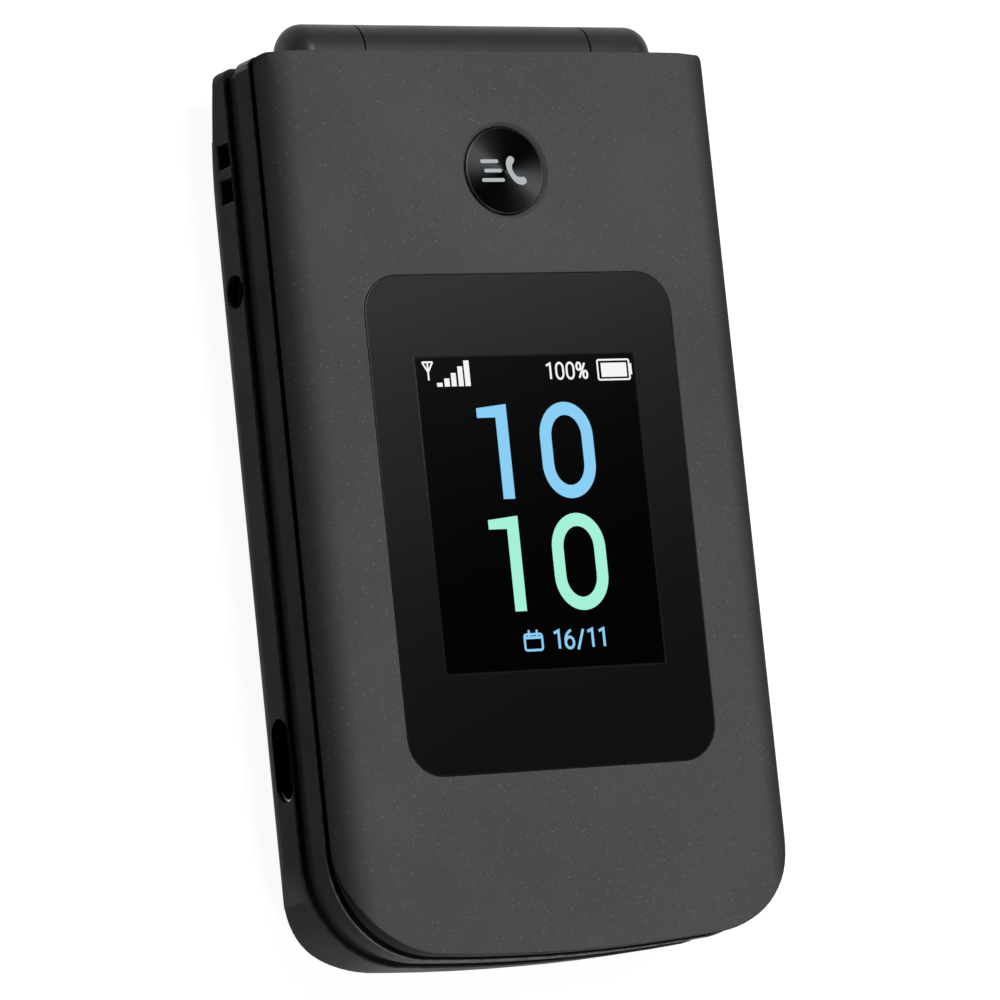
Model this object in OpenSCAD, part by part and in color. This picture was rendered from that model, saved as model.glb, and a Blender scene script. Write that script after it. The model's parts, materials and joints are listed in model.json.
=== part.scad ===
// Clamshell mobile phone, closed and lying on its back, in millimetres.
// X runs across the phone, Y from the foot end to the hinge, and Z out of the lid.
// The origin is the middle of the underside of the whole phone's bounding box.

/* [Body] */
// Width of the base and of the lid
body_w = 57.4; // [56.4:0.2:62]
// Length of the base, from its foot end to its hinge end
base_len = 100.3; // [99:0.1:110]
// Plan radius of the two corners at the foot end
foot_corner_r = 12.2; // [11.8:0.1:13]
// Plan radius of the two corners at the hinge end
hinge_corner_r = 1.3; // [1:0.1:2]
// Radius of the slight bow of the foot end
foot_bow_r = 212; // [180:4:400]
// Radius that rolls the base's long sides into its back
side_round = 5; // [4:0.1:5.5]
// Radius that rolls the base's foot end into its back
foot_round = 3.4; // [3:0.1:4]
// Radius with which the back bends up towards the hinge
back_bend_r = 28; // [24:1:30]
// Slope of the back beyond the bend, in degrees
back_slope = 12.3; // [11:0.1:12.4]
// Length over which the back rises
back_bend_len = 30.4; // [29:0.1:30.4]
// Wall of the base's two cases
wall = 1.2; // [1:0.05:1.4]
// Step in from the rear case to the front case
front_step = 0.7; // [0.4:0.05:1]
// Height of the rear case's rim above the underside of the main board
rim_up = 0.5; // [0.3:0.05:0.7]
// Thickness of the keypad plate
plate_t = 1.2; // [1:0.05:1.5]
// Clearance between fixed pieces that seat on each other
seat = 0.05; // [0.03:0.01:0.06]

/* [Lid] */
// Setback of the lid frame's foot end from the base's
frame_setback = 0.3; // [0.2:0.05:0.6]
// Setback of the cover's foot end from the lid frame's
cover_setback = 0.4; // [0.2:0.05:0.6]
// Gap between the keypad face and the closed lid
lid_gap = 0.35; // [0.33:0.01:0.5]
// Radius of the first, gentle roll of the cover's sides
cover_roll_r = 12; // [10:0.5:12]
// Radius of the second, tight roll of the cover's sides
cover_edge_r = 4.5; // [4:0.1:4.5]
// Slope at which the gentle roll passes into the tight one
roll_angle = 20; // [16:1:20]
// Slope at which the tight roll ends
edge_angle = 60; // [56:1:60]
// Thickness of the cover
cover_t = 1.1; // [1:0.05:1.3]
// Width of the dark groove between the cover and the frame's ridge
groove_w = 1.25; // [0.8:0.05:1.5]
// Wall of the lid frame
frame_wall = 1.2; // [1:0.05:1.3]
// Thickness of the frame's inner plate
inner_plate_t = 1.3; // [1.2:0.05:1.6]

/* [Hinge] */
// Radius of the hinge barrel
barrel_r = 3.6; // [3.5:0.05:3.9]
// Distance of the hinge axis beyond the base's end
axis_out = 0.57; // [0.5:0.01:0.8]
// Height of the hinge axis above the keypad face
axis_up = 0.8; // [0.7:0.05:1]
// Half length of the whole barrel
barrel_half = 23.2; // [22.6:0.1:23.6]
// Distance of the two seams from the middle
seam_x = 14.4; // [13.5:0.1:14.6]
// Width of a seam
seam_w = 0.2; // [0.15:0.05:0.4]
// Rounding of the barrel's outer ends
barrel_round = 2.6; // [2:0.1:2.8]
// Clearance around the turning barrel
hinge_clear = 0.3; // [0.25:0.01:0.35]
// Wall of the troughs that the barrel turns in
trough_t = 0.8; // [0.6:0.05:0.9]
// Outer radius of the hinge cartridge and of the bush's seat
cartridge_r = 2.6; // [2.5:0.05:2.65]
// Wall of the hinge cartridge
cartridge_wall = 0.35; // [0.3:0.01:0.4]
// Radius of the hinge shaft
shaft_r = 1.2; // [1.1:0.05:1.25]
// Running clearance of the shaft and of the bush, on the radius
run_clear = 0.05; // [0.03:0.01:0.09]
// Radius of the cam on the hinge shaft
cam_r = 2.1; // [1.9:0.05:2.1]
// Length that the shaft's head and the bush reach into the lid's barrel
barrel_grip = 3.4; // [3:0.1:4]
// Outer radius of the bush's running end
bush_r = 2.05; // [1.9:0.05:2.2]
// Bore of the bush
bush_bore_r = 1.45; // [1.3:0.05:1.5]
// Radius of the spring's wire
spring_wire_r = 0.22; // [0.18:0.01:0.24]

/* [Battery] */
// Room in the base beside the battery, on each side
battery_side = 11.7; // [11:0.1:12.5]
// Length of the base above the battery, for the camera and the headphone jack
battery_room = 34.5; // [34.5:0.5:38]
// Thickness of the battery
battery_t = 4.7; // [4.4:0.1:6]
// Distance of the battery's lower end from the foot end
battery_y = 14; // [13.5:0.5:15]
// Play around the battery in its bay
battery_play = 0.15; // [0.1:0.01:0.2]
// Wall of the battery bay
bay_wall = 1; // [0.8:0.05:1.2]
// Thickness of the bay's ceiling
bay_top_t = 0.7; // [0.6:0.05:1]
// Thickness of the battery cover
door_t = 1; // [0.9:0.05:1.2]
// Width of the rim of the battery cover around the bay
door_rim = 4; // [3:0.1:4.6]
// Corner radius of the battery cover
door_r = 3; // [2:0.1:4]
// Thickness of the back behind the battery cover
ledge_t = 0.75; // [0.7:0.05:1]

/* [Electronics] */
// Thickness of the main board
board_t = 0.8; // [0.7:0.05:1]
// Clearance from the main board's edge to the front case's wall
board_edge = 0.15; // [0.1:0.01:0.3]
// Height of the shield cans
can_h = 1.3; // [1.2:0.05:1.6]
// Length of the slot for the USB-C plug
usb_slot_l = 8.9; // [8.8:0.05:9]
// Width of the slot for the USB-C plug
usb_slot_w = 3.3; // [3.2:0.05:3.4]
// Depth of the USB-C socket
usb_depth = 7.3; // [6.5:0.1:8]
// Distance of the USB-C socket from the foot end
usb_y = 24.1; // [23:0.1:26]
// Depth of the USB-C socket's middle below the main board's underside
usb_drop = 1.4; // [1.35:0.05:1.6]
// Radius of the headphone jack's bore
jack_r = 1.8; // [1.76:0.01:1.85]
// Length of the headphone jack
jack_len = 12.5; // [12:0.1:13.5]
// Width of the headphone jack's body
jack_w = 6; // [5.5:0.1:6.4]
// Height of the headphone jack's body
jack_h = 4.3; // [4.2:0.05:4.5]
// Distance of the headphone jack from the hinge end
jack_back = 24.5; // [23.5:0.1:25]
// Depth of the jack's middle below the main board's underside
jack_drop = 1.7; // [1.65:0.05:1.9]
// Distance of the camera from the hinge end
camera_back = 20.5; // [19.5:0.1:21]
// Width of the camera module
camera_w = 8.5; // [8:0.1:9]
// Height of the camera module
camera_h = 4.2; // [3.8:0.1:4.6]
// Radius of the camera window
camera_window_r = 4; // [3.8:0.05:4.2]
// Thickness of the camera window
camera_window_t = 0.7; // [0.6:0.05:0.8]
// Radius of the camera's lens barrel
camera_lens_r = 2.9; // [2.6:0.05:3]
// Distance of the loudspeaker from the hinge end
speaker_back = 19; // [18:0.1:19.2]
// Room between the loudspeaker and the side of the base
speaker_side = 6.7; // [6.4:0.1:7.5]
// Gap between the loudspeaker and the camera
speaker_gap = 2.75; // [2:0.05:3.5]
// Width of the loudspeaker
speaker_w = 11; // [10:0.5:12]
// Height of the loudspeaker
speaker_h = 3.2; // [2.8:0.1:3.6]
// Radius of the vibration motor
motor_r = 4; // [3.5:0.1:4.2]
// Height of the vibration motor
motor_h = 2.7; // [2.4:0.1:3]
// Distance of the vibration motor from the hinge end
motor_back = 13.1; // [12.9:0.1:13.6]

/* [Keys] */
// Distance of the grid of number keys from the side of the base
key_margin = 4.1; // [3.9:0.1:5]
// Space between two number keys
key_space = 1.2; // [1:0.05:1.6]
// Distance of the bottom row from the foot end
key_row_y = 12.6; // [12.4:0.1:13]
// Share of the way from the bottom row to the navigation ring that one row takes
row_share = 0.19; // [0.18:0.005:0.19]
// Corner radius of a number key
key_r = 2.2; // [1.5:0.1:3]
// Gap around a key in its hole
key_gap = 0.15; // [0.1:0.01:0.2]
// Travel of a key
key_travel = 0.3; // [0.25:0.01:0.35]
// Height of a key's top above the keypad face
key_proud = 0.1; // [0.05:0.01:0.12]
// Outer radius of the navigation ring
nav_r = 12; // [11:0.1:12.2]
// Outer radius of the OK key
ok_r = 5.6; // [5:0.1:6]
// Distance of the navigation ring from the hinge end
nav_back = 27.9; // [27.5:0.1:28.3]
// Space between the navigation ring and the keys beside it
nav_space = 2.5; // [1.5:0.1:3]
// Height of a soft, call or end key on the face
soft_l = 12.6; // [11:0.1:12.8]
// Thickness of the dome sheet
sheet_t = 0.12; // [0.1:0.01:0.2]
// Height of a metal dome
dome_h = 0.2; // [0.15:0.01:0.25]
// Radius of a metal dome
dome_r = 2.5; // [2:0.1:2.8]
// Thickness of the keypad mat
mat_t = 0.25; // [0.2:0.01:0.35]
// Length of a volume key
volume_l = 9; // [8:0.1:10]
// Width of a volume key
volume_w = 2.6; // [2.4:0.1:2.8]
// Distance of the lower volume key from the hinge end
volume_back = 48.5; // [45:0.5:52]
// Distance between the two volume keys
volume_pitch = 12; // [11.5:0.1:13]

/* [Displays] */
// Distance of the outer window from the sides of the lid
window_side = 9.25; // [9.1:0.05:10]
// Distance of the outer window from the base's foot end
window_foot = 20.5; // [20:0.1:22]
// Distance of the outer window from the base's hinge end
window_head = 25; // [24:0.1:26]
// Corner radius of the outer window
window_r = 4.2; // [3:0.1:5]
// Thickness of the outer window
window_t = 0.7; // [0.6:0.05:0.75]
// Recess of the outer window's face below the cover
window_sink = 0.05; // [0:0.01:0.1]
// Width of the rim that the outer window is glued to
window_rim = 1.5; // [1.2:0.1:2]
// Distance of the outer display from the window's sides
display_side = 2.95; // [2.5:0.05:3.5]
// Distance of the outer display from the window's foot end
display_foot = 5.8; // [5:0.1:6.5]
// Distance of the outer display from the window's hinge end
display_head = 4; // [3:0.1:5]
// Thickness of the outer display
outer_display_t = 1.75; // [1.5:0.05:2]
// Distance of the inner window from the sides of the lid
inner_side = 4.2; // [4.2:0.1:5]
// Distance of the inner window from the base's foot end
inner_foot = 15; // [14.6:0.1:16]
// Distance of the inner window from the base's hinge end
inner_head = 14.5; // [14.2:0.1:16]
// Distance of the inner display from the inner window's sides
inner_display_side = 1.5; // [1.3:0.1:2.5]
// Distance of the inner display from the inner window's ends
inner_display_end = 3.5; // [3:0.1:5]
// Thickness of the inner display
inner_display_t = 2; // [1.8:0.05:2.4]
// Thickness of the lid's circuit board
lid_board_t = 0.6; // [0.5:0.05:0.8]

/* [Quick button] */
// Radius of the quick button
button_r = 4.9; // [4.5:0.05:5.2]
// Gap around the quick button
button_gap = 0.12; // [0.08:0.01:0.2]
// Chamfer of the cover around the quick button
button_chamfer = 0.4; // [0.3:0.05:0.5]
// Travel of the quick button
button_travel = 0.3; // [0.25:0.01:0.35]
// Distance of the quick button from the base's hinge end
button_back = 13.45; // [13:0.05:14]
// Recess of the quick button's face below the cover
button_sink = 0.15; // [0.1:0.01:0.3]

/* [Small parts] */
// Side of each of the two strap holes
strap_hole = 2.6; // [2.2:0.1:2.8]
// Bar left between the strap holes
strap_bar = 1.3; // [1.2:0.05:1.6]
// Distance of the bar from the hinge end
strap_back = 11.4; // [11:0.1:12]
// Inward depth of the strap pocket
strap_depth = 2.2; // [1.8:0.1:2.6]
// Radius of a screw's shank
screw_r = 0.7; // [0.6:0.05:0.8]
// Radius of a screw's head
screw_head_r = 1.5; // [1.3:0.05:1.6]
// Height of a screw's head
screw_head_h = 0.9; // [0.8:0.05:1.1]
// Play around a screw's shank and head where it only passes through
screw_play = 0.15; // [0.1:0.01:0.2]
// Radius of a screw boss
boss_r = 1.9; // [1.8:0.05:2]
// Radius of the closing magnet
magnet_r = 2; // [1.8:0.1:2.2]
// Height of the closing magnet
magnet_h = 1.8; // [1.6:0.1:2]
// Radius of a lid bumper
bumper_r = 1.2; // [1:0.05:1.3]
// Width of the earpiece slot
ear_slot_w = 10; // [9:0.1:11]
// Height of the earpiece slot
ear_slot_l = 1.6; // [1.4:0.05:1.8]
// Distance of the earpiece from the foot end
ear_y = 8.6; // [8.4:0.1:9]

/* [Hidden] */
$fn = 64;
// Facets of the large arcs, and steps of the cover's two rolls
bow_fn = 360;
gentle_steps = 5;
tight_steps = 8;
// Overlap of shapes that are joined, and overrun of cuts
lap = 0.1;
over = 1;
half_w = body_w / 2;
overall_len = base_len + axis_out + barrel_r;
foot_y = -overall_len / 2;
end_y = foot_y + base_len;
axis_y = end_y + axis_out;
bend_y = end_y - back_bend_len;
knee_z = back_bend_r * (1 - cos(back_slope));
knee_y = bend_y + back_bend_r * sin(back_slope);
corner_x = half_w - foot_corner_r;
corner_sink = 0.02;
corner_rise = foot_bow_r - sqrt(pow(foot_bow_r - foot_corner_r, 2) - pow(corner_x, 2)) - corner_sink;
corner_tip = corner_x * foot_bow_r / (foot_bow_r - foot_corner_r);
frame_foot_y = foot_y + frame_setback;
lid_foot_y = frame_foot_y + cover_setback;

// Heights in the base, from the back upwards
back_t = door_t + seat + ledge_t;
battery_z = door_t + battery_play;
bay_z = battery_z + battery_t + battery_play;
bay_top_z = bay_z + bay_top_t;
board_z = bay_top_z + can_h + 2 * seat;
board_top_z = board_z + board_t;
rim_z = board_z + rim_up;
sheet_z = board_top_z + seat;
dome_z = sheet_z + sheet_t;
mat_z = dome_z + dome_h + seat;
key_z = mat_z + mat_t + seat + key_travel;
face_z = key_z + plate_t;
axis_z = face_z + axis_up;
usb_z = board_z - usb_drop;
jack_z = board_z - jack_drop;
strap_z = board_z - strap_hole / 2;

// Heights in the lid, from its inner face upwards
lid_z = face_z + lid_gap;
inner_display_z = lid_z + inner_plate_t + seat;
lid_board_z = inner_display_z + inner_display_t + seat;
outer_display_z = lid_board_z + lid_board_t + seat;
cover_in_z = outer_display_z + outer_display_t + seat;
top_z = cover_in_z + cover_t;
roll_x = half_w - cover_edge_r * sin(edge_angle);
cover_flat = roll_x - (cover_roll_r - cover_edge_r) * sin(roll_angle);
cover_drop = (cover_roll_r - cover_edge_r) * (1 - cos(roll_angle)) + cover_edge_r * (1 - cos(edge_angle));
roll_z = top_z - cover_roll_r + (cover_roll_r - cover_edge_r) * cos(roll_angle);
edge_z = top_z - cover_drop;
ridge_z = edge_z - groove_w;
window_z = top_z - window_sink - window_t;
button_z = top_z - button_sink;
button_flange_t = 0.5;
button_flange_w = 0.7;
button_base_z = cover_in_z - seat - button_flange_t;
trough_r = barrel_r + hinge_clear + trough_t;

// Places in the base, in plan
case_screw_side = 8.5;
case_screw_foot = 4.7;
case_screw_head = 7.9;
case_screw_x = half_w - case_screw_side;
case_screw_y = [case_screw_foot, base_len - case_screw_head];
battery_w = body_w - 2 * battery_side;
battery_len = base_len - battery_y - battery_room;
jack_y = base_len - jack_back;
camera_y = base_len - camera_back;
speaker_y = base_len - speaker_back;
speaker_lo_x = camera_w / 2 + speaker_gap;
speaker_hi_x = half_w - speaker_side;
speaker_l = speaker_hi_x - speaker_lo_x;
speaker_x = (speaker_lo_x + speaker_hi_x) / 2;
volume_y = base_len - volume_back;
strap_y = base_len - strap_back;

// Places on the keypad
nav_y = base_len - nav_back;
key_pitch_x = (body_w - 2 * key_margin) / 3;
key_w = key_pitch_x - key_space;
key_pitch_y = (nav_y - key_row_y) * row_share;
key_l = key_pitch_y - key_space;
key_columns = [-key_pitch_x, 0, key_pitch_x];
soft_rows = [nav_y - (soft_l + key_space) / 2, nav_y + (soft_l + key_space) / 2];
soft_hi_x = key_pitch_x + key_w / 2;
soft_lo_x = nav_r + nav_space;
soft_w = soft_hi_x - soft_lo_x;
soft_x = (soft_hi_x + soft_lo_x) / 2;

// Places in the lid, in plan
window_w = body_w - 2 * window_side;
window_l = base_len - window_foot - window_head;
window_y = window_foot + window_l / 2;
outer_display_w = window_w - 2 * display_side;
outer_display_l = window_l - display_foot - display_head;
outer_display_y = window_foot + display_foot + outer_display_l / 2;
inner_window_w = body_w - 2 * inner_side;
inner_window_l = base_len - inner_foot - inner_head;
inner_window_y = inner_foot + inner_window_l / 2;
inner_display_w = inner_window_w - 2 * inner_display_side;
inner_display_l = inner_window_l - 2 * inner_display_end;
button_y = base_len - button_back;
lid_screw_side = 10.7;
lid_screw_foot = 8.6;
lid_screw_head = 8.1;
lid_screw_x = half_w - lid_screw_side;
lid_screw_y = [lid_screw_foot, base_len - lid_screw_head];
bumper_side = 2.1;
bumper_foot = 11;
bumper_head = 12.5;
bumper_x = half_w - front_step - bumper_side;
bumper_y = [bumper_foot, base_len - bumper_head];

// ---- Shapes that several pieces share ----

// Moves its children to a distance from the foot end
module at(x, y) {
    translate([x, foot_y + y, 0]) children();
}

// A plate between two heights
module plate(z_lo, z_hi) {
    translate([0, 0, z_lo]) linear_extrude(z_hi - z_lo) children();
}

// A block between two corners
module block(lo, hi) {
    translate(lo) cube(hi - lo);
}

// A rectangle with round corners, centred
module rounded(w, l, r) {
    square([w - 2 * r, l], center = true);
    square([w, l - 2 * r], center = true);
    for (x = [-1, 1], y = [-1, 1])
        translate([x * (w / 2 - r), y * (l / 2 - r)]) circle(r);
}

// The phone's outline in plan, stepped in by inset, with its foot end at foot
module outline(inset, foot) {
    x = half_w - inset;
    lo = foot + corner_rise;
    hi = end_y - inset;
    r_hi = hinge_corner_r - min(inset, hinge_corner_r / 2);
    intersection() {
        union() {
            translate([-x, lo]) square([2 * x, hi - lo - r_hi]);
            translate([-corner_tip, foot]) square([2 * corner_tip, corner_rise + lap]);
            translate([-(x - r_hi), hi - r_hi - lap]) square([2 * (x - r_hi), r_hi + lap]);
            for (side = [-1, 1]) {
                translate([side * corner_x, lo]) circle(foot_corner_r - inset);
                translate([side * (x - r_hi), hi - r_hi]) circle(r_hi);
            }
        }
        translate([0, foot + foot_bow_r]) circle(foot_bow_r - inset, $fn = bow_fn);
    }
}

// The base's cross-section, which rolls from the sides into the back
module side_section(inset) {
    x = half_w - side_round;
    translate([-(half_w - inset), side_round]) square([2 * (half_w - inset), top_z]);
    translate([-x, inset]) square([2 * x, side_round]);
    for (side = [-1, 1]) translate([side * x, side_round]) circle(side_round - inset);
}

// The base's long section: round at the foot, bent up and sloping to the hinge
module end_section(inset) {
    foot = foot_y + foot_round;
    bend_len = (back_bend_r - inset) * sin(back_slope);
    lo = back_bend_r - (back_bend_r - inset) * cos(back_slope);
    hi = lo + (back_bend_len + over - bend_len) * tan(back_slope);
    translate([foot_y + inset, foot_round]) square([bend_y - foot_y - inset, top_z]);
    translate([foot, inset]) square([bend_y - foot, foot_round]);
    translate([foot, foot_round]) circle(foot_round - inset);
    intersection() {
        translate([bend_y - lap, 0]) square([bend_len + 2 * lap, top_z]);
        translate([bend_y, back_bend_r]) circle(back_bend_r - inset, $fn = bow_fn);
    }
    polygon([[bend_y + bend_len, lo], [end_y + over, hi], [end_y + over, top_z],
        [bend_y + bend_len, top_z]]);
}

// The base's solid shape, stepped in by inset, between two heights
module base_body(inset, z_lo, z_hi) {
    intersection() {
        plate(z_lo, z_hi) outline(inset, foot_y);
        rotate([90, 0, 0]) linear_extrude(2 * overall_len, center = true) side_section(inset);
        rotate([90, 0, 90]) linear_extrude(2 * body_w, center = true) end_section(inset);
    }
}

function arc(cx, cz, r, from, to, steps) =
    [for (i = [1:steps]) let (a = from + (to - from) * i / steps) [cx + r * sin(a), cz + r * cos(a)]];

// One side of the cover's section, from the flat front down to a height
function cover_side(inset, z_lo) = concat(
    [[cover_flat, top_z - inset]],
    arc(cover_flat, top_z - cover_roll_r, cover_roll_r - inset, 0, roll_angle, gentle_steps),
    arc(roll_x, roll_z, cover_edge_r - inset, roll_angle, edge_angle, tight_steps),
    [[half_w - inset * sin(edge_angle), z_lo]]
);

// The solid under the cover's rolled front, stepped in by inset, down to a height
module cover_body(inset, z_lo) {
    right = cover_side(inset, z_lo);
    left = [for (i = [len(right) - 1:-1:0]) [-right[i][0], right[i][1]]];
    intersection() {
        rotate([90, 0, 0]) linear_extrude(2 * overall_len, center = true)
            polygon(concat(right, left));
        plate(z_lo, top_z) outline(inset, lid_foot_y);
    }
}

// Puts its children's Z axis on the hinge axis, pointing to +X, from a distance x
module on_axis(x) {
    translate([x, axis_y, axis_z]) rotate([0, 90, 0]) children();
}

// A cylinder on the hinge axis between two places
module axle(x_lo, x_hi, r) {
    on_axis(x_lo) cylinder(h = x_hi - x_lo, r = r);
}

// ---- Hinge places, shared by the base, the lid and the pieces between them ----
knuckle_x = seam_x + seam_w / 2;
lid_barrel_x = seam_x - seam_w / 2;
knuckle_cap = 1.4;
bore_end_x = barrel_half - knuckle_cap;
can_back = 0.2;
can_x = knuckle_x + can_back;
can_end_x = bore_end_x - seat;
can_end_t = 0.5;
can_r = cartridge_r - cartridge_wall;
cam_gap = 0.3;
cam_x = can_x + cam_gap;
cam_len = 1.8;
spring_gap = 0.1;
spring_x = cam_x + cam_len + spring_gap;
spring_end_x = can_end_x - can_end_t - seat;
head_side = 2.9;
head_play = 0.1;
head_neck = 1;
bush_end = 0.8;
bush_neck = 1;
hollow_r = 2.4;
hollow_cap = 2;
flex_x = [3, 9];
flex_t = 0.15;
flex_play = 0.25;
flex_slot = 0.5;
flex_tail = 3;
flex_head = 9.5;
flex_end = 0.4;
flex_roll_r = bush_bore_r - flex_play;
flex_z = axis_z + flex_roll_r - flex_t;

// ---- The base's shells ----

screw_seat_t = 0.8;
screw_lift = 0.2;
screw_end = 0.1;
screw_seat_z = [back_t + screw_seat_t, slope_z(case_screw_y[1]) + wall / cos(back_slope) + screw_lift];
door_w = battery_w + 2 * door_rim;
door_l = battery_len + 2 * door_rim;
bay_mid_y = battery_y + battery_len / 2;
bay_end_y = battery_y + battery_len + battery_play;
contact_w = 10.4;
contact_l = 3.4;
contact_up = 1.1;
contact_h = 3;
contact_play = 0.1;
finger_x = [-3.6, 0, 3.6];
finger_w = 1.2;
finger_h = 2;
finger_up = 0.5;
strap_pitch = strap_hole + strap_bar;
strap_len = 2 * strap_hole + strap_bar;
volume_drop = 0.7;
volume_z = board_z - volume_drop - volume_w / 2 - seat;
volume_ys = [volume_y, volume_y + volume_pitch];
volume_flange = 0.6;
volume_flange_w = 0.5;
switch_body = [1.8, 3.5, 2.6];
switch_tip = [0.5, 1.6, 1.6];
port_x = wall + 3 * seat;
volume_in_x = half_w - port_x - volume_flange;
window_seat_z = 0.25;
grille_slots = 5;
grille_pitch = 1.9;
grille_w = 1;
grille_end = 2;
lens_play = 0.1;
port_play = 0.2;
slot_end = 0.001;
card_w = 15.4;
card_l = 13.6;
card_y = 30;
card_rim = 2.5;
card_shift = 1;
card_ledge = 1;
mic_y = 3.9;
mic_w = 3.4;
mic_l = 2;
mic_hole_r = 0.5;
tongue_w = 6.7;
tongue_t = 0.7;
tongue_in = 1;
usb_shell_t = 0.25;
usb_in = 0.4;
jack_r_out = 0.8;
jack_cap = 0.6;
battery_r = 1.2;
speaker_r = 1.5;
motor_gap = 2.15;
motor_x = camera_w / 2 + motor_gap + motor_r;
middle_can_gap = 3.7;
middle_can_back = 8.45;
middle_can_side = 3.5;
middle_can_lo = card_y + card_l / 2 + middle_can_gap;
middle_can_l = bay_end_y - middle_can_back - middle_can_lo;
side_can_y = 24;
side_can_l = 14;
side_can_gap = 1;
side_can_out = 0.7;
side_can_lo_x = card_w / 2 + side_can_gap;
side_can_w = battery_w / 2 + side_can_out - side_can_lo_x;

// Height of the back's outside on its slope, at a distance from the foot end
function slope_z(y) = knee_z + (foot_y + y - knee_y) * tan(back_slope);

// Puts its children's ground on the slope of the back, at a distance from the foot end
module on_slope(x, y) {
    translate([x, foot_y + y, slope_z(y)]) rotate([back_slope, 0, 0]) children();
}

// A slot with round ends along Y
module slot(w, l) {
    rounded(w, l, w / 2 - slot_end);
}

// Puts its children's Z axis along +X, inwards from the left side, at a height
module from_left(x, y, z) {
    translate([-half_w + x, foot_y + y, z]) rotate([90, 0, 90]) children();
}

// The room in plan that a port on the left side takes
module port_outline(y, depth, width) {
    at(-half_w + (port_x + depth) / 2, y)
        square([port_x + depth + 2 * port_play, width + 2 * port_play], center = true);
}

module rear_bosses() {
    for (side = [-1, 1], y = case_screw_y)
        at(side * case_screw_x, y) translate([0, 0, back_t - lap])
            cylinder(h = board_z - seat - back_t + lap, r = boss_r);
}

module rear_screw_holes() {
    for (side = [-1, 1], i = [0, 1]) at(side * case_screw_x, case_screw_y[i]) {
        translate([0, 0, -over]) cylinder(h = screw_seat_z[i] + over, r = screw_head_r + screw_play);
        cylinder(h = board_z + over, r = screw_r + screw_play);
    }
}

module bay_walls() {
    at(0, bay_mid_y) plate(door_t, bay_top_z)
        square([battery_w + 2 * (battery_play + bay_wall), battery_len + 2 * (battery_play + bay_wall)],
            center = true);
}

module bay_cut() {
    at(0, bay_mid_y) {
        plate(-over, bay_z)
            square([battery_w + 2 * battery_play, battery_len + 2 * battery_play], center = true);
        plate(-over, door_t + seat) rounded(door_w + 2 * seat, door_l + 2 * seat, door_r + seat);
    }
    at(0, card_y) plate(bay_z - over, bay_top_z + over)
        square([card_w - 2 * card_ledge, card_l - 2 * card_ledge], center = true);
    at(0, bay_end_y + bay_wall / 2)
        plate(battery_z + contact_up - contact_play, battery_z + contact_up + contact_h + contact_play)
            square([contact_w + 2 * contact_play, bay_wall + 2 * over], center = true);
}

module strap_block() {
    translate([-half_w, foot_y + strap_y - strap_len / 2 - wall, back_t - lap])
        cube([2 * wall + strap_depth, strap_len + 2 * wall, rim_z - back_t + lap]);
}

module strap_cut() {
    from_left(wall, strap_y, strap_z)
        linear_extrude(strap_depth) square([strap_len, strap_hole], center = true);
    for (side = [-1, 1])
        from_left(-over, strap_y + side * strap_pitch / 2, strap_z)
            linear_extrude(wall + over + lap) square([strap_hole, strap_hole], center = true);
}

module rear_case() {
    color("#242628") difference() {
        union() {
            difference() {
                base_body(0, 0, rim_z);
                base_body(wall, back_t, rim_z + over);
            }
            intersection() {
                base_body(wall / 2, 0, rim_z);
                union() {
                    bay_walls();
                    rear_bosses();
                    strap_block();
                }
            }
        }
        bay_cut();
        strap_cut();
        rear_screw_holes();
        from_left(-over, usb_y, usb_z) linear_extrude(wall + 2 * over)
            rounded(usb_slot_l, usb_slot_w, usb_slot_w / 2 - slot_end);
        from_left(-over, jack_y, jack_z) cylinder(h = wall + 2 * over, r = jack_r + seat);
        for (y = volume_ys)
            translate([half_w - wall - over, foot_y + y, volume_z]) rotate([90, 0, 90])
                linear_extrude(wall + 2 * over)
                    rounded(volume_l + 2 * key_gap, volume_w + 2 * key_gap, volume_w / 2);
        on_slope(0, camera_y) {
            translate([0, 0, -over]) cylinder(h = window_seat_z + camera_window_t + seat + over,
                r = camera_window_r + seat);
            cylinder(h = wall + over, r = camera_lens_r + lens_play);
        }
        for (i = [0:grille_slots - 1])
            on_slope(speaker_x + (i - (grille_slots - 1) / 2) * grille_pitch, speaker_y)
                plate(-over, wall + over) slot(grille_w, speaker_w - 2 * grille_end);
        axle(-(barrel_half + hinge_clear + wall + seat), barrel_half + hinge_clear + wall + seat,
            trough_r + seat);
    }
}

// One of the base's two barrel knuckles, on the +X side
module knuckle() {
    len = barrel_half - knuckle_x;
    on_axis(knuckle_x) rotate_extrude() {
        square([barrel_r, len - barrel_round]);
        square([barrel_r - barrel_round, len]);
        translate([barrel_r - barrel_round, len - barrel_round]) intersection() {
            circle(barrel_round);
            square(barrel_round);
        }
    }
}

// All key holes of the keypad plate
module key_holes() {
    for (x = key_columns, row = [0:3])
        at(x, key_row_y + row * key_pitch_y)
            rounded(key_w + 2 * key_gap, key_l + 2 * key_gap, key_r + key_gap);
    for (side = [-1, 1], y = soft_rows)
        at(side * soft_x, y) rounded(soft_w + 2 * key_gap, soft_l + 2 * key_gap, key_r + key_gap);
    at(0, nav_y) circle(nav_r + key_gap);
}

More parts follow.
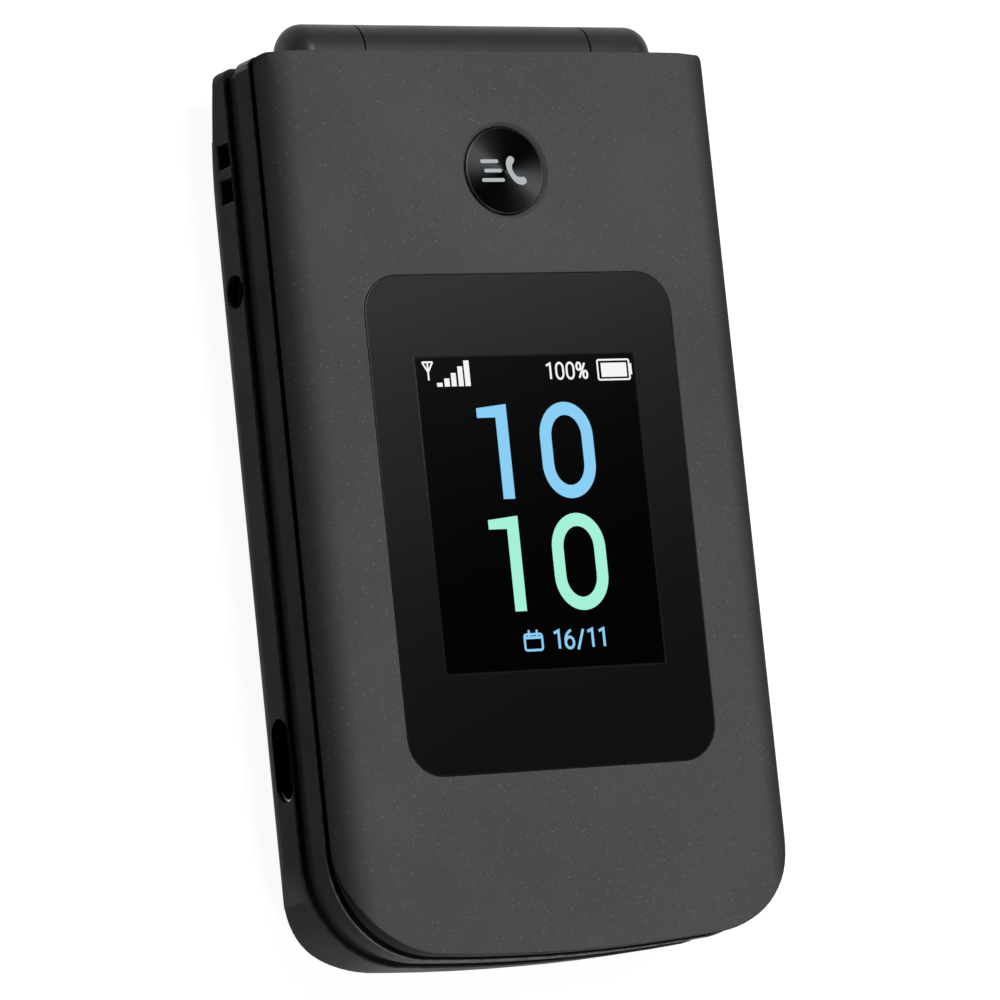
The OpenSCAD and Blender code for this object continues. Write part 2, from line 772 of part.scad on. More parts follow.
module front_case() {
    color("#1c1d1f") difference() {
        union() {
            difference() {
                base_body(front_step, rim_z, face_z);
                base_body(front_step + wall, rim_z - over, key_z);
            }
            for (side = [-1, 1], y = case_screw_y)
                at(side * case_screw_x, y) plate(board_top_z + seat, face_z - lap) circle(boss_r);
            intersection() {
                base_body(front_step, axis_z - trough_r - over, face_z);
                axle(-(barrel_half + hinge_clear + wall), barrel_half + hinge_clear + wall, trough_r);
            }
            knuckle();
            mirror([1, 0, 0]) knuckle();
        }
        axle(-knuckle_x, knuckle_x, barrel_r + hinge_clear);
        axle(knuckle_x - lap, bore_end_x, cartridge_r + seat);
        axle(-bore_end_x, -knuckle_x + lap, cartridge_r + seat);
        plate(key_z - over, face_z + over) key_holes();
        for (side = [-1, 1], y = case_screw_y)
            at(side * case_screw_x, y) plate(rim_z - over, key_z + screw_end) circle(screw_r + seat);
        at(0, mic_y) plate(key_z - over, face_z + over) circle(mic_hole_r);
        plate(rim_z - over, max(rim_z, jack_z + jack_h / 2) + seat) port_outline(jack_y, jack_len, jack_w);
        plate(rim_z - over, max(rim_z, usb_z + usb_slot_w / 2) + seat)
            port_outline(usb_y, usb_depth, usb_slot_l);
    }
}

module battery_cover() {
    color("#242628") at(0, bay_mid_y) plate(0, door_t) rounded(door_w, door_l, door_r);
}

// ---- What the base holds ----

module battery() {
    color("#3b3f45") at(0, bay_mid_y) plate(battery_z, battery_z + battery_t)
        rounded(battery_w, battery_len, battery_r);
}

module battery_contacts() {
    color("#c9a54e") at(0, bay_end_y) {
        translate([-contact_w / 2, bay_wall + contact_play, battery_z + contact_up])
            cube([contact_w, contact_l, board_z - seat - battery_z - contact_up]);
        translate([-contact_w / 2, 2 * contact_play, battery_z + contact_up])
            cube([contact_w, bay_wall, contact_h]);
        for (x = finger_x)
            translate([x - finger_w / 2, -contact_play, battery_z + contact_up + finger_up])
                cube([finger_w, bay_wall, finger_h]);
    }
}

module main_board() {
    inset = front_step + wall + board_edge;
    color("#1f5a3a") difference() {
        plate(board_z, board_top_z) intersection() {
            outline(inset, foot_y);
            translate([-half_w, foot_y]) square([body_w, axis_y - trough_r - 4 * seat - foot_y]);
        }
        plate(board_z - over, board_top_z + over) {
            for (side = [-1, 1], y = case_screw_y)
                at(side * case_screw_x, y) circle(screw_r + 2 * screw_play);
            port_outline(jack_y, jack_len, jack_w);
            port_outline(usb_y, usb_depth, usb_slot_l);
            at(-half_w + wall + strap_depth / 2, strap_y)
                square([strap_depth + 2 * (wall + port_play), strap_len + 2 * (wall + port_play)],
                    center = true);
        }
    }
}

module shield_cans() {
    color("#b9bcc0") plate(bay_top_z + seat, board_z - seat) {
        at(0, middle_can_lo + middle_can_l / 2)
            square([battery_w - 2 * middle_can_side, middle_can_l], center = true);
        for (side = [-1, 1]) at(side * (side_can_lo_x + side_can_w / 2), side_can_y)
            square([side_can_w, side_can_l], center = true);
    }
}

module usb_port() {
    depth = wall + usb_depth - usb_in;
    out_w = usb_slot_w - 2 * seat;
    in_w = out_w - 2 * usb_shell_t;
    color("#b9bcc0") {
        from_left(usb_in, usb_y, usb_z) difference() {
            linear_extrude(depth) rounded(usb_slot_l - 2 * seat, out_w, out_w / 2 - slot_end);
            translate([0, 0, -over]) linear_extrude(depth)
                rounded(usb_slot_l - 2 * (seat + usb_shell_t), in_w, in_w / 2 - slot_end);
        }
        from_left(wall + tongue_in, usb_y, usb_z) linear_extrude(depth + usb_in - wall - tongue_in)
            square([tongue_w, tongue_t], center = true);
    }
}

module audio_jack() {
    color("#15161a") from_left(port_x, jack_y, jack_z) difference() {
        linear_extrude(jack_len) rounded(jack_w, jack_h, jack_r_out);
        translate([0, 0, -over]) cylinder(h = jack_len - jack_cap + over, r = jack_r);
    }
}

module card_holder() {
    color("#b9bcc0") at(0, card_y) plate(bay_top_z + seat, board_z - seat) difference() {
        square([card_w, card_l], center = true);
        translate([0, card_shift]) square([card_w - 2 * card_rim, card_l - 2 * card_rim], center = true);
    }
}

module speaker() {
    color("#2a2c30") on_slope(speaker_x, speaker_y)
        plate(wall + 2 * seat, wall + 2 * seat + speaker_h) rounded(speaker_l, speaker_w, speaker_r);
}

module microphone() {
    color("#c9a54e") at(0, mic_y) plate(board_top_z + seat, key_z - seat)
        square([mic_w, mic_l], center = true);
}

module vibration_motor() {
    color("#b9bcc0") at(-motor_x, base_len - motor_back)
        plate(board_z - seat - motor_h, board_z - seat) circle(motor_r);
}

// The places of all domes, keys and their plungers
dome_places = concat(
    [for (x = key_columns, row = [0:3]) [x, key_row_y + row * key_pitch_y]],
    [for (side = [-1, 1], y = soft_rows) [side * soft_x, y]],
    [for (a = [0:90:270]) [(nav_r + ok_r) / 2 * cos(a), nav_y + (nav_r + ok_r) / 2 * sin(a)]],
    [[0, nav_y]]
);
sheet_foot = 6.8;
sheet_head = 12.5;
sheet_side = 1.6;
sheet_r = 3;
dome_taper = 0.6;
sheet_len = base_len - sheet_foot - sheet_head;
sheet_y = sheet_foot + sheet_len / 2;
sheet_w = body_w - 2 * (front_step + wall + sheet_side);

module dome_sheet() {
    color("#d8d8d2") {
        at(0, sheet_y) plate(sheet_z, dome_z) rounded(sheet_w, sheet_len, sheet_r);
        for (p = dome_places) at(p[0], p[1]) translate([0, 0, dome_z - sheet_t / 2])
            cylinder(h = dome_h + sheet_t / 2, r1 = dome_r, r2 = dome_r * dome_taper);
    }
}

module keypad_mat() {
    color("#4a4d52") at(0, sheet_y) plate(mat_z, mat_z + mat_t) rounded(sheet_w, sheet_len, sheet_r);
}

module camera_module() {
    color("#17181b") on_slope(0, camera_y) {
        plate(wall + 2 * seat, wall + 2 * seat + camera_h) square(camera_w, center = true);
        plate(window_seat_z + camera_window_t + 2 * seat, wall + 2 * seat + lap) circle(camera_lens_r);
    }
}

module camera_window() {
    color("#0d0e10") on_slope(0, camera_y) plate(window_seat_z, window_seat_z + camera_window_t)
        circle(camera_window_r);
}

module case_screws() {
    color("#8d9094") for (side = [-1, 1], i = [0, 1]) at(side * case_screw_x, case_screw_y[i]) {
        plate(screw_seat_z[i] - screw_head_h, screw_seat_z[i]) circle(screw_head_r);
        plate(screw_seat_z[i] - lap, key_z) circle(screw_r);
    }
}

antenna_foot = 3.4;
antenna_gap = 0.6;
antenna_side = 1;
antenna_floor = 1;
antenna_wall = 1;

module antenna_carrier() {
    hi = battery_y - battery_play - bay_wall - antenna_gap;
    w = battery_w + 2 * antenna_side;
    color("#2f3236") at(0, (antenna_foot + hi) / 2) difference() {
        plate(back_t + seat, board_z - seat) square([w, hi - antenna_foot], center = true);
        plate(back_t + antenna_floor, board_z)
            square([w - 4 * antenna_wall, hi - antenna_foot - 2 * antenna_wall], center = true);
    }
}

module side_switches() {
    tip = volume_in_x - key_travel - seat;
    color("#b9bcc0") for (y = volume_ys) {
        translate([tip - switch_tip[0] - switch_body[0], foot_y + y - switch_body[1] / 2,
            board_z - seat - switch_body[2]]) cube(switch_body);
        translate([tip - switch_tip[0] - lap, foot_y + y - switch_tip[1] / 2,
            volume_z - switch_tip[2] / 2]) cube(switch_tip + [lap, 0, 0]);
    }
}

// ---- Hinge ----

module hinge_cartridge() {
    color("#8d9094") mirror([1, 0, 0]) difference() {
        axle(can_x, can_end_x, cartridge_r);
        axle(can_x - over, can_end_x - can_end_t, can_r);
        axle(can_x, can_end_x + over, shaft_r + run_clear);
    }
}

coil_turns = 4;
coil_steps = 12;
wire_sides = 6;

// The points around the wire where the coil has turned by angle a
function spring_ring(x, coil_r, a) = [
    for (k = [0:wire_sides - 1])
        let (side = 360 * k / wire_sides, r = coil_r + spring_wire_r * sin(side))
            [x + spring_wire_r * cos(side), r * cos(a), r * sin(a)]
];

// One flat face between two rings of the coil
function ring_face(i, k) =
    let (low = wire_sides * i, next = (k + 1) % wire_sides)
        [low + k, low + next, low + wire_sides + next, low + wire_sides + k];

// A coil spring around the hinge shaft: rings of points swept along a helix
module hinge_spring() {
    steps = coil_steps * coil_turns;
    coil_r = (shaft_r + can_r) / 2;
    pitch = (spring_end_x - spring_x - 2 * spring_wire_r) / coil_turns;
    rings = [for (i = [0:steps])
        spring_ring(spring_x + spring_wire_r + pitch * i / coil_steps, coil_r, 360 * i / coil_steps)];
    points = [for (r = rings) for (p = r) p];
    sides = [for (i = [0:steps - 1], k = [0:wire_sides - 1]) ring_face(i, k)];
    first = [for (k = [wire_sides - 1:-1:0]) k];
    last = [for (k = [0:wire_sides - 1]) wire_sides * steps + k];
    color("#a9acb0") mirror([1, 0, 0]) translate([0, axis_y, axis_z])
        polyhedron(points, concat(sides, [first, last]));
}

module hinge_bush() {
    color("#8d9094") difference() {
        union() {
            axle(knuckle_x + seat, bore_end_x - bush_end, cartridge_r);
            axle(seam_x - barrel_grip + head_play, knuckle_x + bush_neck, bush_r);
        }
        axle(seam_x - barrel_grip - over, bore_end_x, bush_bore_r);
    }
}

module hinge_shaft() {
    head_x = seam_x - barrel_grip + head_play;
    color("#a9acb0") mirror([1, 0, 0]) {
        axle(head_x + head_neck, can_end_x, shaft_r);
        axle(cam_x, cam_x + cam_len, cam_r);
        translate([head_x, axis_y - head_side / 2, axis_z - head_side / 2])
            cube([lid_barrel_x - head_x - head_play, head_side, head_side]);
    }
}

module flex_cable() {
    connector_y = end_y - flex_head;
    color("#b8742a") {
        axle(flex_x[0], bore_end_x - flex_end, flex_roll_r);
        block([flex_x[0], connector_y - flex_tail, flex_z], [flex_x[1], axis_y, flex_z + flex_t]);
        block([flex_x[0], connector_y - flex_tail, flex_z],
            [flex_x[1], connector_y, lid_board_z - seat]);
    }
}

// ---- Keys ----

// A keycap at its place on the keypad
module key_cap(x, y, w, l) {
    color("#2b2d30") at(x, y) plate(key_z, face_z + key_proud) rounded(w, l, key_r);
}

// A number key by its column and its row, counted from the foot end
module number_key(column, row) {
    key_cap(key_columns[column], key_row_y + row * key_pitch_y, key_w, key_l);
}

module key_1() { number_key(0, 3); }
module key_2() { number_key(1, 3); }
module key_3() { number_key(2, 3); }
module key_4() { number_key(0, 2); }
module key_5() { number_key(1, 2); }
module key_6() { number_key(2, 2); }
module key_7() { number_key(0, 1); }
module key_8() { number_key(1, 1); }
module key_9() { number_key(2, 1); }
module key_star() { number_key(0, 0); }
module key_0() { number_key(1, 0); }
module key_hash() { number_key(2, 0); }
module soft_key_left() { key_cap(-soft_x, soft_rows[1], soft_w, soft_l); }
module soft_key_right() { key_cap(soft_x, soft_rows[1], soft_w, soft_l); }
module call_key() { key_cap(-soft_x, soft_rows[0], soft_w, soft_l); }
module end_key() { key_cap(soft_x, soft_rows[0], soft_w, soft_l); }

module nav_ring() {
    color("#3a3c40") at(0, nav_y) plate(key_z, face_z) difference() {
        circle(nav_r);
        circle(ok_r + key_gap);
    }
}

module ok_key() {
    color("#2b2d30") at(0, nav_y) plate(key_z, face_z + key_proud) circle(ok_r);
}

// A side key: its cap in the case wall and its flange behind the wall
module volume_key(y) {
    color("#2b2d30") translate([volume_in_x, foot_y + y, volume_z]) rotate([90, 0, 90]) {
        linear_extrude(half_w - seat - volume_in_x)
            rounded(volume_l, volume_w, volume_w / 2 - key_gap);
        linear_extrude(volume_flange)
            rounded(volume_l + 2 * volume_flange_w, volume_w + 2 * volume_flange_w, volume_w / 3);
    }
}

module volume_down_key() { volume_key(volume_ys[0]); }
module volume_up_key() { volume_key(volume_ys[1]); }

// ---- The lid ----

mesh_up = 0.3;
mesh_t = 0.25;
ear_mesh_z = lid_z + mesh_up;
bumper_pocket = 0.4;
inner_window_sink = 0.1;
inner_window_r = 2.5;
lid_screw_sink = 0.1;
lid_screw_top = 0.2;
lid_screw_z = lid_z + lid_screw_sink;
ear_box = [12, 6, 2.2];
ear_box_r = 1;
magnet_x = (ear_box[0] / 2 + lid_screw_x - boss_r) / 2;
magnet_y = 6.2;
switch_side = 4.4;
switch_h = 0.7;
nub_r = 1.5;
display_r = 0.7;
board_foot = 14;
board_head = 6.5;
board_side = 0.4;

module lid_bosses() {
    for (side = [-1, 1], y = lid_screw_y)
        at(side * lid_screw_x, y) plate(lid_z + inner_plate_t + seat, cover_in_z + lap) circle(boss_r);
}

module lid_cover() {
    color("#4d4f52") difference() {
        union() {
            difference() {
                cover_body(0, edge_z);
                cover_body(cover_t, edge_z - over);
            }
            lid_bosses();
        }
        at(0, window_y) {
            plate(window_z - seat, top_z + over)
                rounded(window_w + 2 * seat, window_l + 2 * seat, window_r + seat);
            plate(cover_in_z - over, top_z)
                rounded(window_w - 2 * window_rim, window_l - 2 * window_rim, window_r - window_rim);
        }
        at(0, button_y) {
            plate(cover_in_z - over, top_z + over) circle(button_r + button_gap);
            translate([0, 0, top_z - button_chamfer])
                cylinder(h = button_chamfer + lap, r1 = button_r + button_gap,
                    r2 = button_r + button_gap + button_chamfer + lap);
        }
        for (side = [-1, 1], y = lid_screw_y)
            at(side * lid_screw_x, y) plate(lid_z, cover_in_z - lid_screw_top) circle(screw_r + seat);
    }
}

// The notches in the lid for the base's two knuckles
module knuckle_notches() {
    for (side = [0, 1]) mirror([side, 0, 0])
        axle(lid_barrel_x, barrel_half + hinge_clear, barrel_r + hinge_clear);
}

module lid_troughs() {
    intersection() {
        plate(lid_z, ridge_z) outline(frame_wall / 2, lid_foot_y);
        for (side = [0, 1]) mirror([side, 0, 0])
            axle(lid_barrel_x - trough_t, barrel_half + hinge_clear + trough_t, trough_r);
    }
}

module frame_shell() {
    difference() {
        plate(lid_z, ridge_z) outline(0, frame_foot_y);
        plate(lid_z + inner_plate_t, ridge_z + over) outline(frame_wall, lid_foot_y);
    }
    difference() {
        cover_body(cover_t + seat, ridge_z - frame_wall);
        plate(lid_z, top_z) outline(cover_t + seat + frame_wall, lid_foot_y);
    }
}

// The openings of the frame's inner plate
module plate_cuts() {
    at(0, inner_window_y) {
        plate(lid_z - over, lid_z + inner_window_sink + window_t + seat)
            rounded(inner_window_w + 2 * seat, inner_window_l + 2 * seat, inner_window_r);
        plate(lid_z - over, lid_z + inner_plate_t + over)
            rounded(inner_window_w - 2 * window_rim, inner_window_l - 2 * window_rim,
                inner_window_r / 2);
    }
    at(0, ear_y) plate(lid_z - over, lid_z + inner_plate_t + over)
        rounded(ear_slot_w, ear_slot_l, ear_slot_l / 2 - slot_end);
    for (side = [-1, 1]) {
        for (y = bumper_y) at(side * bumper_x, y)
            plate(lid_z - over, lid_z + bumper_pocket) circle(bumper_r + seat);
        for (y = lid_screw_y) at(side * lid_screw_x, y) {
            plate(lid_z - over, lid_screw_z + screw_head_h) circle(screw_head_r + screw_play);
            plate(lid_z - over, lid_z + inner_plate_t + over) circle(screw_r + screw_play);
        }
    }
}

module barrel_cuts() {
    socket = head_side + head_play;
    axle(seam_x - barrel_grip, seam_x + over, bush_r + run_clear);
    axle(-(seam_x - barrel_grip - hollow_cap), seam_x - barrel_grip + lap, hollow_r);
    translate([-(seam_x + over), axis_y - socket / 2, axis_z - socket / 2])
        cube([barrel_grip + over, socket, socket]);
    block([flex_x[0] - flex_slot, axis_y - barrel_r - trough_t - frame_wall, lid_z + inner_plate_t],
        [flex_x[1] + flex_slot, axis_y, flex_z + flex_t + flex_slot]);
}

module lid_frame() {
    color("#202224") difference() {
        union() {
            frame_shell();
            lid_troughs();
            axle(-lid_barrel_x, lid_barrel_x, barrel_r);
        }
        knuckle_notches();
        plate_cuts();
        barrel_cuts();
    }
}

module outer_window() {
    color("#101112") at(0, window_y) plate(window_z, window_z + window_t)
        rounded(window_w, window_l, window_r);
}

module outer_display() {
    color("#0a0b0c") at(0, outer_display_y) plate(outer_display_z, outer_display_z + outer_display_t)
        rounded(outer_display_w, outer_display_l, display_r);
}

module inner_window() {
    color("#101112") at(0, inner_window_y)
        plate(lid_z + inner_window_sink, lid_z + inner_window_sink + window_t)
            rounded(inner_window_w, inner_window_l, inner_window_r - seat);
}

module inner_display() {
    color("#0a0b0c") at(0, inner_window_y) plate(inner_display_z, inner_display_z + inner_display_t)
        rounded(inner_display_w, inner_display_l, display_r);
}

module lid_board() {
    board_half = lid_screw_x - boss_r - board_side;
    color("#1f5a3a") {
        block([-board_half, foot_y + board_foot, lid_board_z],
            [board_half, end_y - board_head, outer_display_z - seat]);
        at(0, button_y) plate(lid_board_z, outer_display_z - seat + switch_h)
            square(switch_side, center = true);
    }
}

module earpiece() {
    color("#2a2c30") at(0, ear_y) plate(lid_z + inner_plate_t + seat,
        lid_z + inner_plate_t + seat + ear_box[2]) rounded(ear_box[0], ear_box[1], ear_box_r);
}

module earpiece_mesh() {
    color("#6d7074") at(0, ear_y) plate(ear_mesh_z, ear_mesh_z + mesh_t)
        rounded(ear_slot_w - 2 * seat, ear_slot_l - 2 * seat, ear_slot_l / 2 - seat - slot_end);
}

module quick_button() {
    nub_z = outer_display_z - seat + switch_h + button_travel + seat;
    color("#0c0d0e") at(0, button_y) {
        plate(button_base_z, button_z) circle(button_r);
        plate(button_base_z, button_base_z + button_flange_t) circle(button_r + button_flange_w);
        plate(nub_z, button_base_z + lap) circle(nub_r);
    }
}

module lid_magnet() {
    color("#b9bcc0") at(magnet_x, magnet_y)
        plate(lid_z + inner_plate_t + seat, lid_z + inner_plate_t + seat + magnet_h) circle(magnet_r);
}

module lid_bumpers() {
    color("#111213") for (side = [-1, 1], y = bumper_y) at(side * bumper_x, y)
        plate(face_z + seat, lid_z + bumper_pocket - seat) circle(bumper_r);
}

module lid_screws() {
    color("#8d9094") for (side = [-1, 1], y = lid_screw_y) at(side * lid_screw_x, y) {
        plate(lid_screw_z, lid_screw_z + screw_head_h) circle(screw_head_r);
        plate(lid_screw_z + screw_head_h - lap, cover_in_z - 2 * lid_screw_top) circle(screw_r);
    }
}

rear_case();
front_case();
battery_cover();
battery();
battery_contacts();
main_board();
shield_cans();
usb_port();
audio_jack();
card_holder();
speaker();
microphone();
vibration_motor();
dome_sheet();
keypad_mat();
camera_module();
camera_window();
case_screws();
antenna_carrier();
side_switches();
hinge_cartridge();
hinge_spring();
hinge_bush();
key_1();
key_2();
key_3();
key_4();
key_5();
key_6();
key_7();
key_8();
key_9();
key_star();
key_0();
key_hash();
nav_ring();
ok_key();
soft_key_left();
soft_key_right();
call_key();
end_key();
volume_up_key();
volume_down_key();
lid_cover();
lid_frame();
outer_window();
outer_display();
inner_window();
inner_display();
lid_board();
earpiece();
earpiece_mesh();
quick_button();
lid_magnet();
lid_bumpers();
hinge_shaft();
flex_cable();
lid_screws();
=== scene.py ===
# %% [markdown]
# # A closed flip phone, lying on its back
# The model of the phone is loaded as a fixed frame: every body, joint and part is already in its place,
# in metres, with X across the phone, Y from its foot end to its hinge, and Z out of the lid. Each cell
# below dresses one part of it. New surfaces are worked out with numpy as whole arrays of points, because
# a formula on a grid keeps every edge radius and every gap exactly where the maker would put it.

# %% Load the frame
import json
import math

import bmesh
import bpy
import numpy as np
from mathutils import Matrix, Vector
from mathutils.geometry import delaunay_2d_cdt


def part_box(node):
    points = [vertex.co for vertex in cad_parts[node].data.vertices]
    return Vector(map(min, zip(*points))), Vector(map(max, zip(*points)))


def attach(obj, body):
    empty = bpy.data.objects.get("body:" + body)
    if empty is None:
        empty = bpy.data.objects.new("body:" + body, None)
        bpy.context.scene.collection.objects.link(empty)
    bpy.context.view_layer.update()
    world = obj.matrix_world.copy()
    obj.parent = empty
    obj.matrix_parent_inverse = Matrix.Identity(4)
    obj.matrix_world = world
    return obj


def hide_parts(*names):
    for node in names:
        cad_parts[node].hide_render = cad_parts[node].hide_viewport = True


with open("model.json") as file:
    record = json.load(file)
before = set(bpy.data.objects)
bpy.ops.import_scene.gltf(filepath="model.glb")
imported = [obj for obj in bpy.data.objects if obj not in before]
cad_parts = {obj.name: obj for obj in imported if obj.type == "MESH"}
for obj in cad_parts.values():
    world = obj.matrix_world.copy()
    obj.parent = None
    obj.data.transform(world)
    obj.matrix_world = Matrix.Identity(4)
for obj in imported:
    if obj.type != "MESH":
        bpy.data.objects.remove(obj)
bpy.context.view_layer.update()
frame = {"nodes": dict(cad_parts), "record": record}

# %% [markdown]
# ## The measures that several parts share
# A phone is drawn from its outline inwards. These are the lengths that its shells have in common, in
# millimetres: the half width, the two ends, the corner radii, the hinge axis with its barrel's reach,
# and the heights of the lid's ridge, of its cover's lower edge and of its top. Writing them once keeps
# neighbouring parts flush.

# %% Shared measures
MM = 0.001
HALF = 28.7
FOOT, END = -52.235, 48.065
FRAME_FOOT, LID_FOOT = FOOT + 0.3, FOOT + 0.7
BOW_R, CORNER_R, HINGE_R, LEAST_R = 212.0, 12.2, 1.3, 0.02
CORNER_X = HALF - CORNER_R
CORNER_RISE = BOW_R - math.sqrt((BOW_R - CORNER_R) ** 2 - CORNER_X ** 2)
AXIS_Y, AXIS_Z, BARREL_REACH = 48.635, 11.92, 3.68
RIDGE_Z, EDGE_Z, TOP_Z = 14.468, 15.718, 18.42
print("outline:", 2 * HALF, "by", END - FOOT, "mm, top at", TOP_Z)

# %% The body and the material slot of every part
record = frame["record"]
BODY_OF = {node: body for body, members in record["behaviour"]["bodies"].items() for node in members}
SLOT_OF = {part["node"]: part["material_slot"] for part in record["subparts"]}
print(len(BODY_OF), "parts with a body,", len(set(SLOT_OF.values())), "material slots")

# %% [markdown]
# ## From arrays of points to a piece
# Every new surface is a grid of points: one direction runs round an outline, the other follows a
# section. Two kinds of patch are enough for moulded plastic: a band between closed rings, and a flat
# cap with holes. The patches of a piece are welded along their shared rings, so the piece is closed.

# %% Patches
def band(rings):
    """A closed band of four-sided faces between rings of as many points: the first point of every ring
    is used again as its last."""
    points = np.concatenate([rings, np.asarray(rings)[:, :1]], 1)
    rows, cols = points.shape[:2]
    n = np.arange(rows * cols).reshape(rows, cols)
    quads = np.stack([n[:-1, :-1], n[:-1, 1:], n[1:, 1:], n[1:, :-1]], -1)
    return points.reshape(-1, 3), quads.reshape(-1, 4)


def inside(loops, points):
    """Whether points lie inside an odd number of loops: a ray to the right crosses a side wherever the
    side's ends lie on both sides of the point's height."""
    odd = np.zeros(len(points), bool)
    x, y = points[:, :1], points[:, 1:]
    for a in loops:
        b = np.roll(a, -1, 0)
        spans = (a[:, 1] > y) != (b[:, 1] > y)
        rise = np.where(a[:, 1] == b[:, 1], 1.0, b[:, 1] - a[:, 1])
        crossing = a[:, 0] + (y - a[:, 1]) * (b[:, 0] - a[:, 0]) / rise
        odd ^= ((spans & (x < crossing)).sum(1) % 2).astype(bool)
    return odd


def cap(*rings):
    """A flat face at the height of its rings, inside the first and outside the others: the best-shaped
    triangles that keep every side of the rings."""
    flat = np.concatenate(rings)[:, :2]
    ends = np.cumsum([len(ring) for ring in rings])
    sides = [(i, i + 1 if i + 1 < end else end - len(ring)) for ring, end in zip(rings, ends)
             for i in range(end - len(ring), end)]
    _, _, faces, origin, _, _ = delaunay_2d_cdt([Vector(p) for p in flat], sides, [], 1, 1e-7)
    if not all(origin):
        raise ValueError("the sides of a flat face cross each other")
    triangles = np.array([o[0] for o in origin])[np.array(faces)]
    kept = inside([ring[:, :2] for ring in rings], flat[triangles].mean(1))
    return np.concatenate(rings), triangles[kept]


def solid(rings):
    """A band and the caps on its two ends."""
    return [band(rings), cap(rings[0]), cap(rings[-1])]


def at_height(loop, z):
    """A plan loop of (x, y) points lifted to a height, or to one height per point."""
    return np.column_stack([loop, np.broadcast_to(z, len(loop))])


def stack(plan, profile):
    """Rings of a plan, one for each (inset, height) of a profile."""
    return np.stack([at_height(plan(inset), z) for inset, z in profile])


def plate(loop, z, thick):
    """A loop of (x, y) points filled and given a thickness."""
    return solid(np.stack([at_height(loop, z), at_height(loop, z + thick)]))


# %% Edges, welding and finish
WELD = 2e-7
EDGE_MARK_TURN, FULL_EDGE_MARK_TURN = 16, 22


def placed(name, data):
    """A new object in the scene."""
    o = bpy.data.objects.new(name, data)
    bpy.context.scene.collection.objects.link(o)
    return o


def values_of(rows, key, width=1, kind=float):
    """One property of a mesh's corners, edges or faces as an array with a number of columns."""
    values = np.empty(len(rows) * width, kind)
    rows.foreach_get(key, values)
    return values.reshape(-1, width) if width > 1 else values


def edge_amount(mesh):
    """How sharply the surface turns at each point, from 0 to 1: for every edge, the angle between its
    two faces where they meet outwards, and for every point its largest edge."""
    corner_edge = values_of(mesh.loops, "edge_index", kind=int)
    totals = values_of(mesh.polygons, "loop_total", kind=int)
    normal, centre = (values_of(mesh.polygons, key, 3) for key in ("normal", "center"))
    ends = values_of(mesh.edges, "vertices", 2, int)
    owner = np.repeat(np.arange(len(totals)), totals)
    order = np.argsort(corner_edge, kind="stable")
    same = np.flatnonzero(np.diff(corner_edge[order]) == 0)
    one, two, edge = owner[order][same], owner[order][same + 1], corner_edge[order][same]
    turn = np.degrees(np.arccos(np.clip((normal[one] * normal[two]).sum(1), -1, 1)))
    outward = ((centre[two] - centre[one]) * normal[one]).sum(1) < 0
    amount = np.clip((turn - EDGE_MARK_TURN) / (FULL_EDGE_MARK_TURN - EDGE_MARK_TURN), 0, 1) * outward
    points = np.zeros(len(mesh.vertices))
    for end in (0, 1):
        np.maximum.at(points, ends[edge, end], amount)
    return points


def finished(name, mesh, edges, node, finish=None, replaces=True, slot=None):
    """Makes a mesh an object with its edge amounts. Its body, its slot and, unless one is given, its
    finish are those of a node, which it replaces unless told otherwise."""
    slot = slot or SLOT_OF[node]
    mesh.attributes.new("edge", "FLOAT", "POINT").data.foreach_set("value", edges.astype(np.float32))
    mesh.materials.append(finish or BY_SLOT[slot])
    o = placed(name, mesh)
    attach(o, BODY_OF[node])
    if replaces:
        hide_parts(node)
    print(f"{name}: {len(mesh.polygons)} faces, rides on {BODY_OF[node]}")
    return o


def piece(name, patches, node, finish=None, replaces=True, slot=None, smooth=38, printed=False):
    """Welds patches (in mm) into one closed object with outward faces, smooth where the surface turns
    by less than an angle. Printed signs get no lighter edge tone: neither rubbing nor painted highlight."""
    starts = np.cumsum([0] + [len(points) for points, _ in patches])
    faces = [f for (_, own), start in zip(patches, starts) for f in (own + start).tolist()]
    mesh = bpy.data.meshes.new(name)
    mesh.from_pydata((np.concatenate([points for points, _ in patches]) * MM).tolist(), [], faces)
    work = bmesh.new()
    work.from_mesh(mesh)
    bmesh.ops.remove_doubles(work, verts=work.verts, dist=WELD)
    bmesh.ops.dissolve_degenerate(work, edges=work.edges, dist=WELD)
    bmesh.ops.recalc_face_normals(work, faces=work.faces)
    work.to_mesh(mesh)
    work.free()
    mesh.shade_smooth()
    mesh.set_sharp_from_angle(angle=math.radians(smooth))
    edges = np.zeros(len(mesh.vertices)) if printed else edge_amount(mesh)
    finished(name, mesh, edges, node, finish, replaces, slot)


# %% [markdown]
# ## Easing the edges of a part
# No moulded edge is perfectly sharp. Where a part's shape is already right, a copy of it is welded, its
# flat faces are joined, and its outer edges are rounded by a few tenths. That catches the light along
# every edge as the real moulding does, and marks the rounds, where the finish paints a lighter tone for
# rubbing by handling and a painted highlight. Weighting the shading by the size of the faces keeps the flat
# faces flat.

# %% Eased copies
COPY_WELD, FLAT_TURN, EDGE_TURN, SHARP_TURN = 1.5e-6, 0.6, 40, 50


def inset_of(points, foot):
    """How far points (x, y) in mm lie inside the phone's outline: the least of their distances to the
    side, to the hinge end, and to the foot's bow or its corner's arc."""
    x, y = np.abs(points[:, 0]), points[:, 1]
    bowed = BOW_R - np.hypot(x, y - foot - BOW_R)
    corner = np.where((x > CORNER_X) & (y < foot + CORNER_RISE),
                      CORNER_R - np.hypot(x - CORNER_X, y - foot - CORNER_RISE), bowed)
    return np.minimum(np.minimum(HALF - x, END - y), corner)


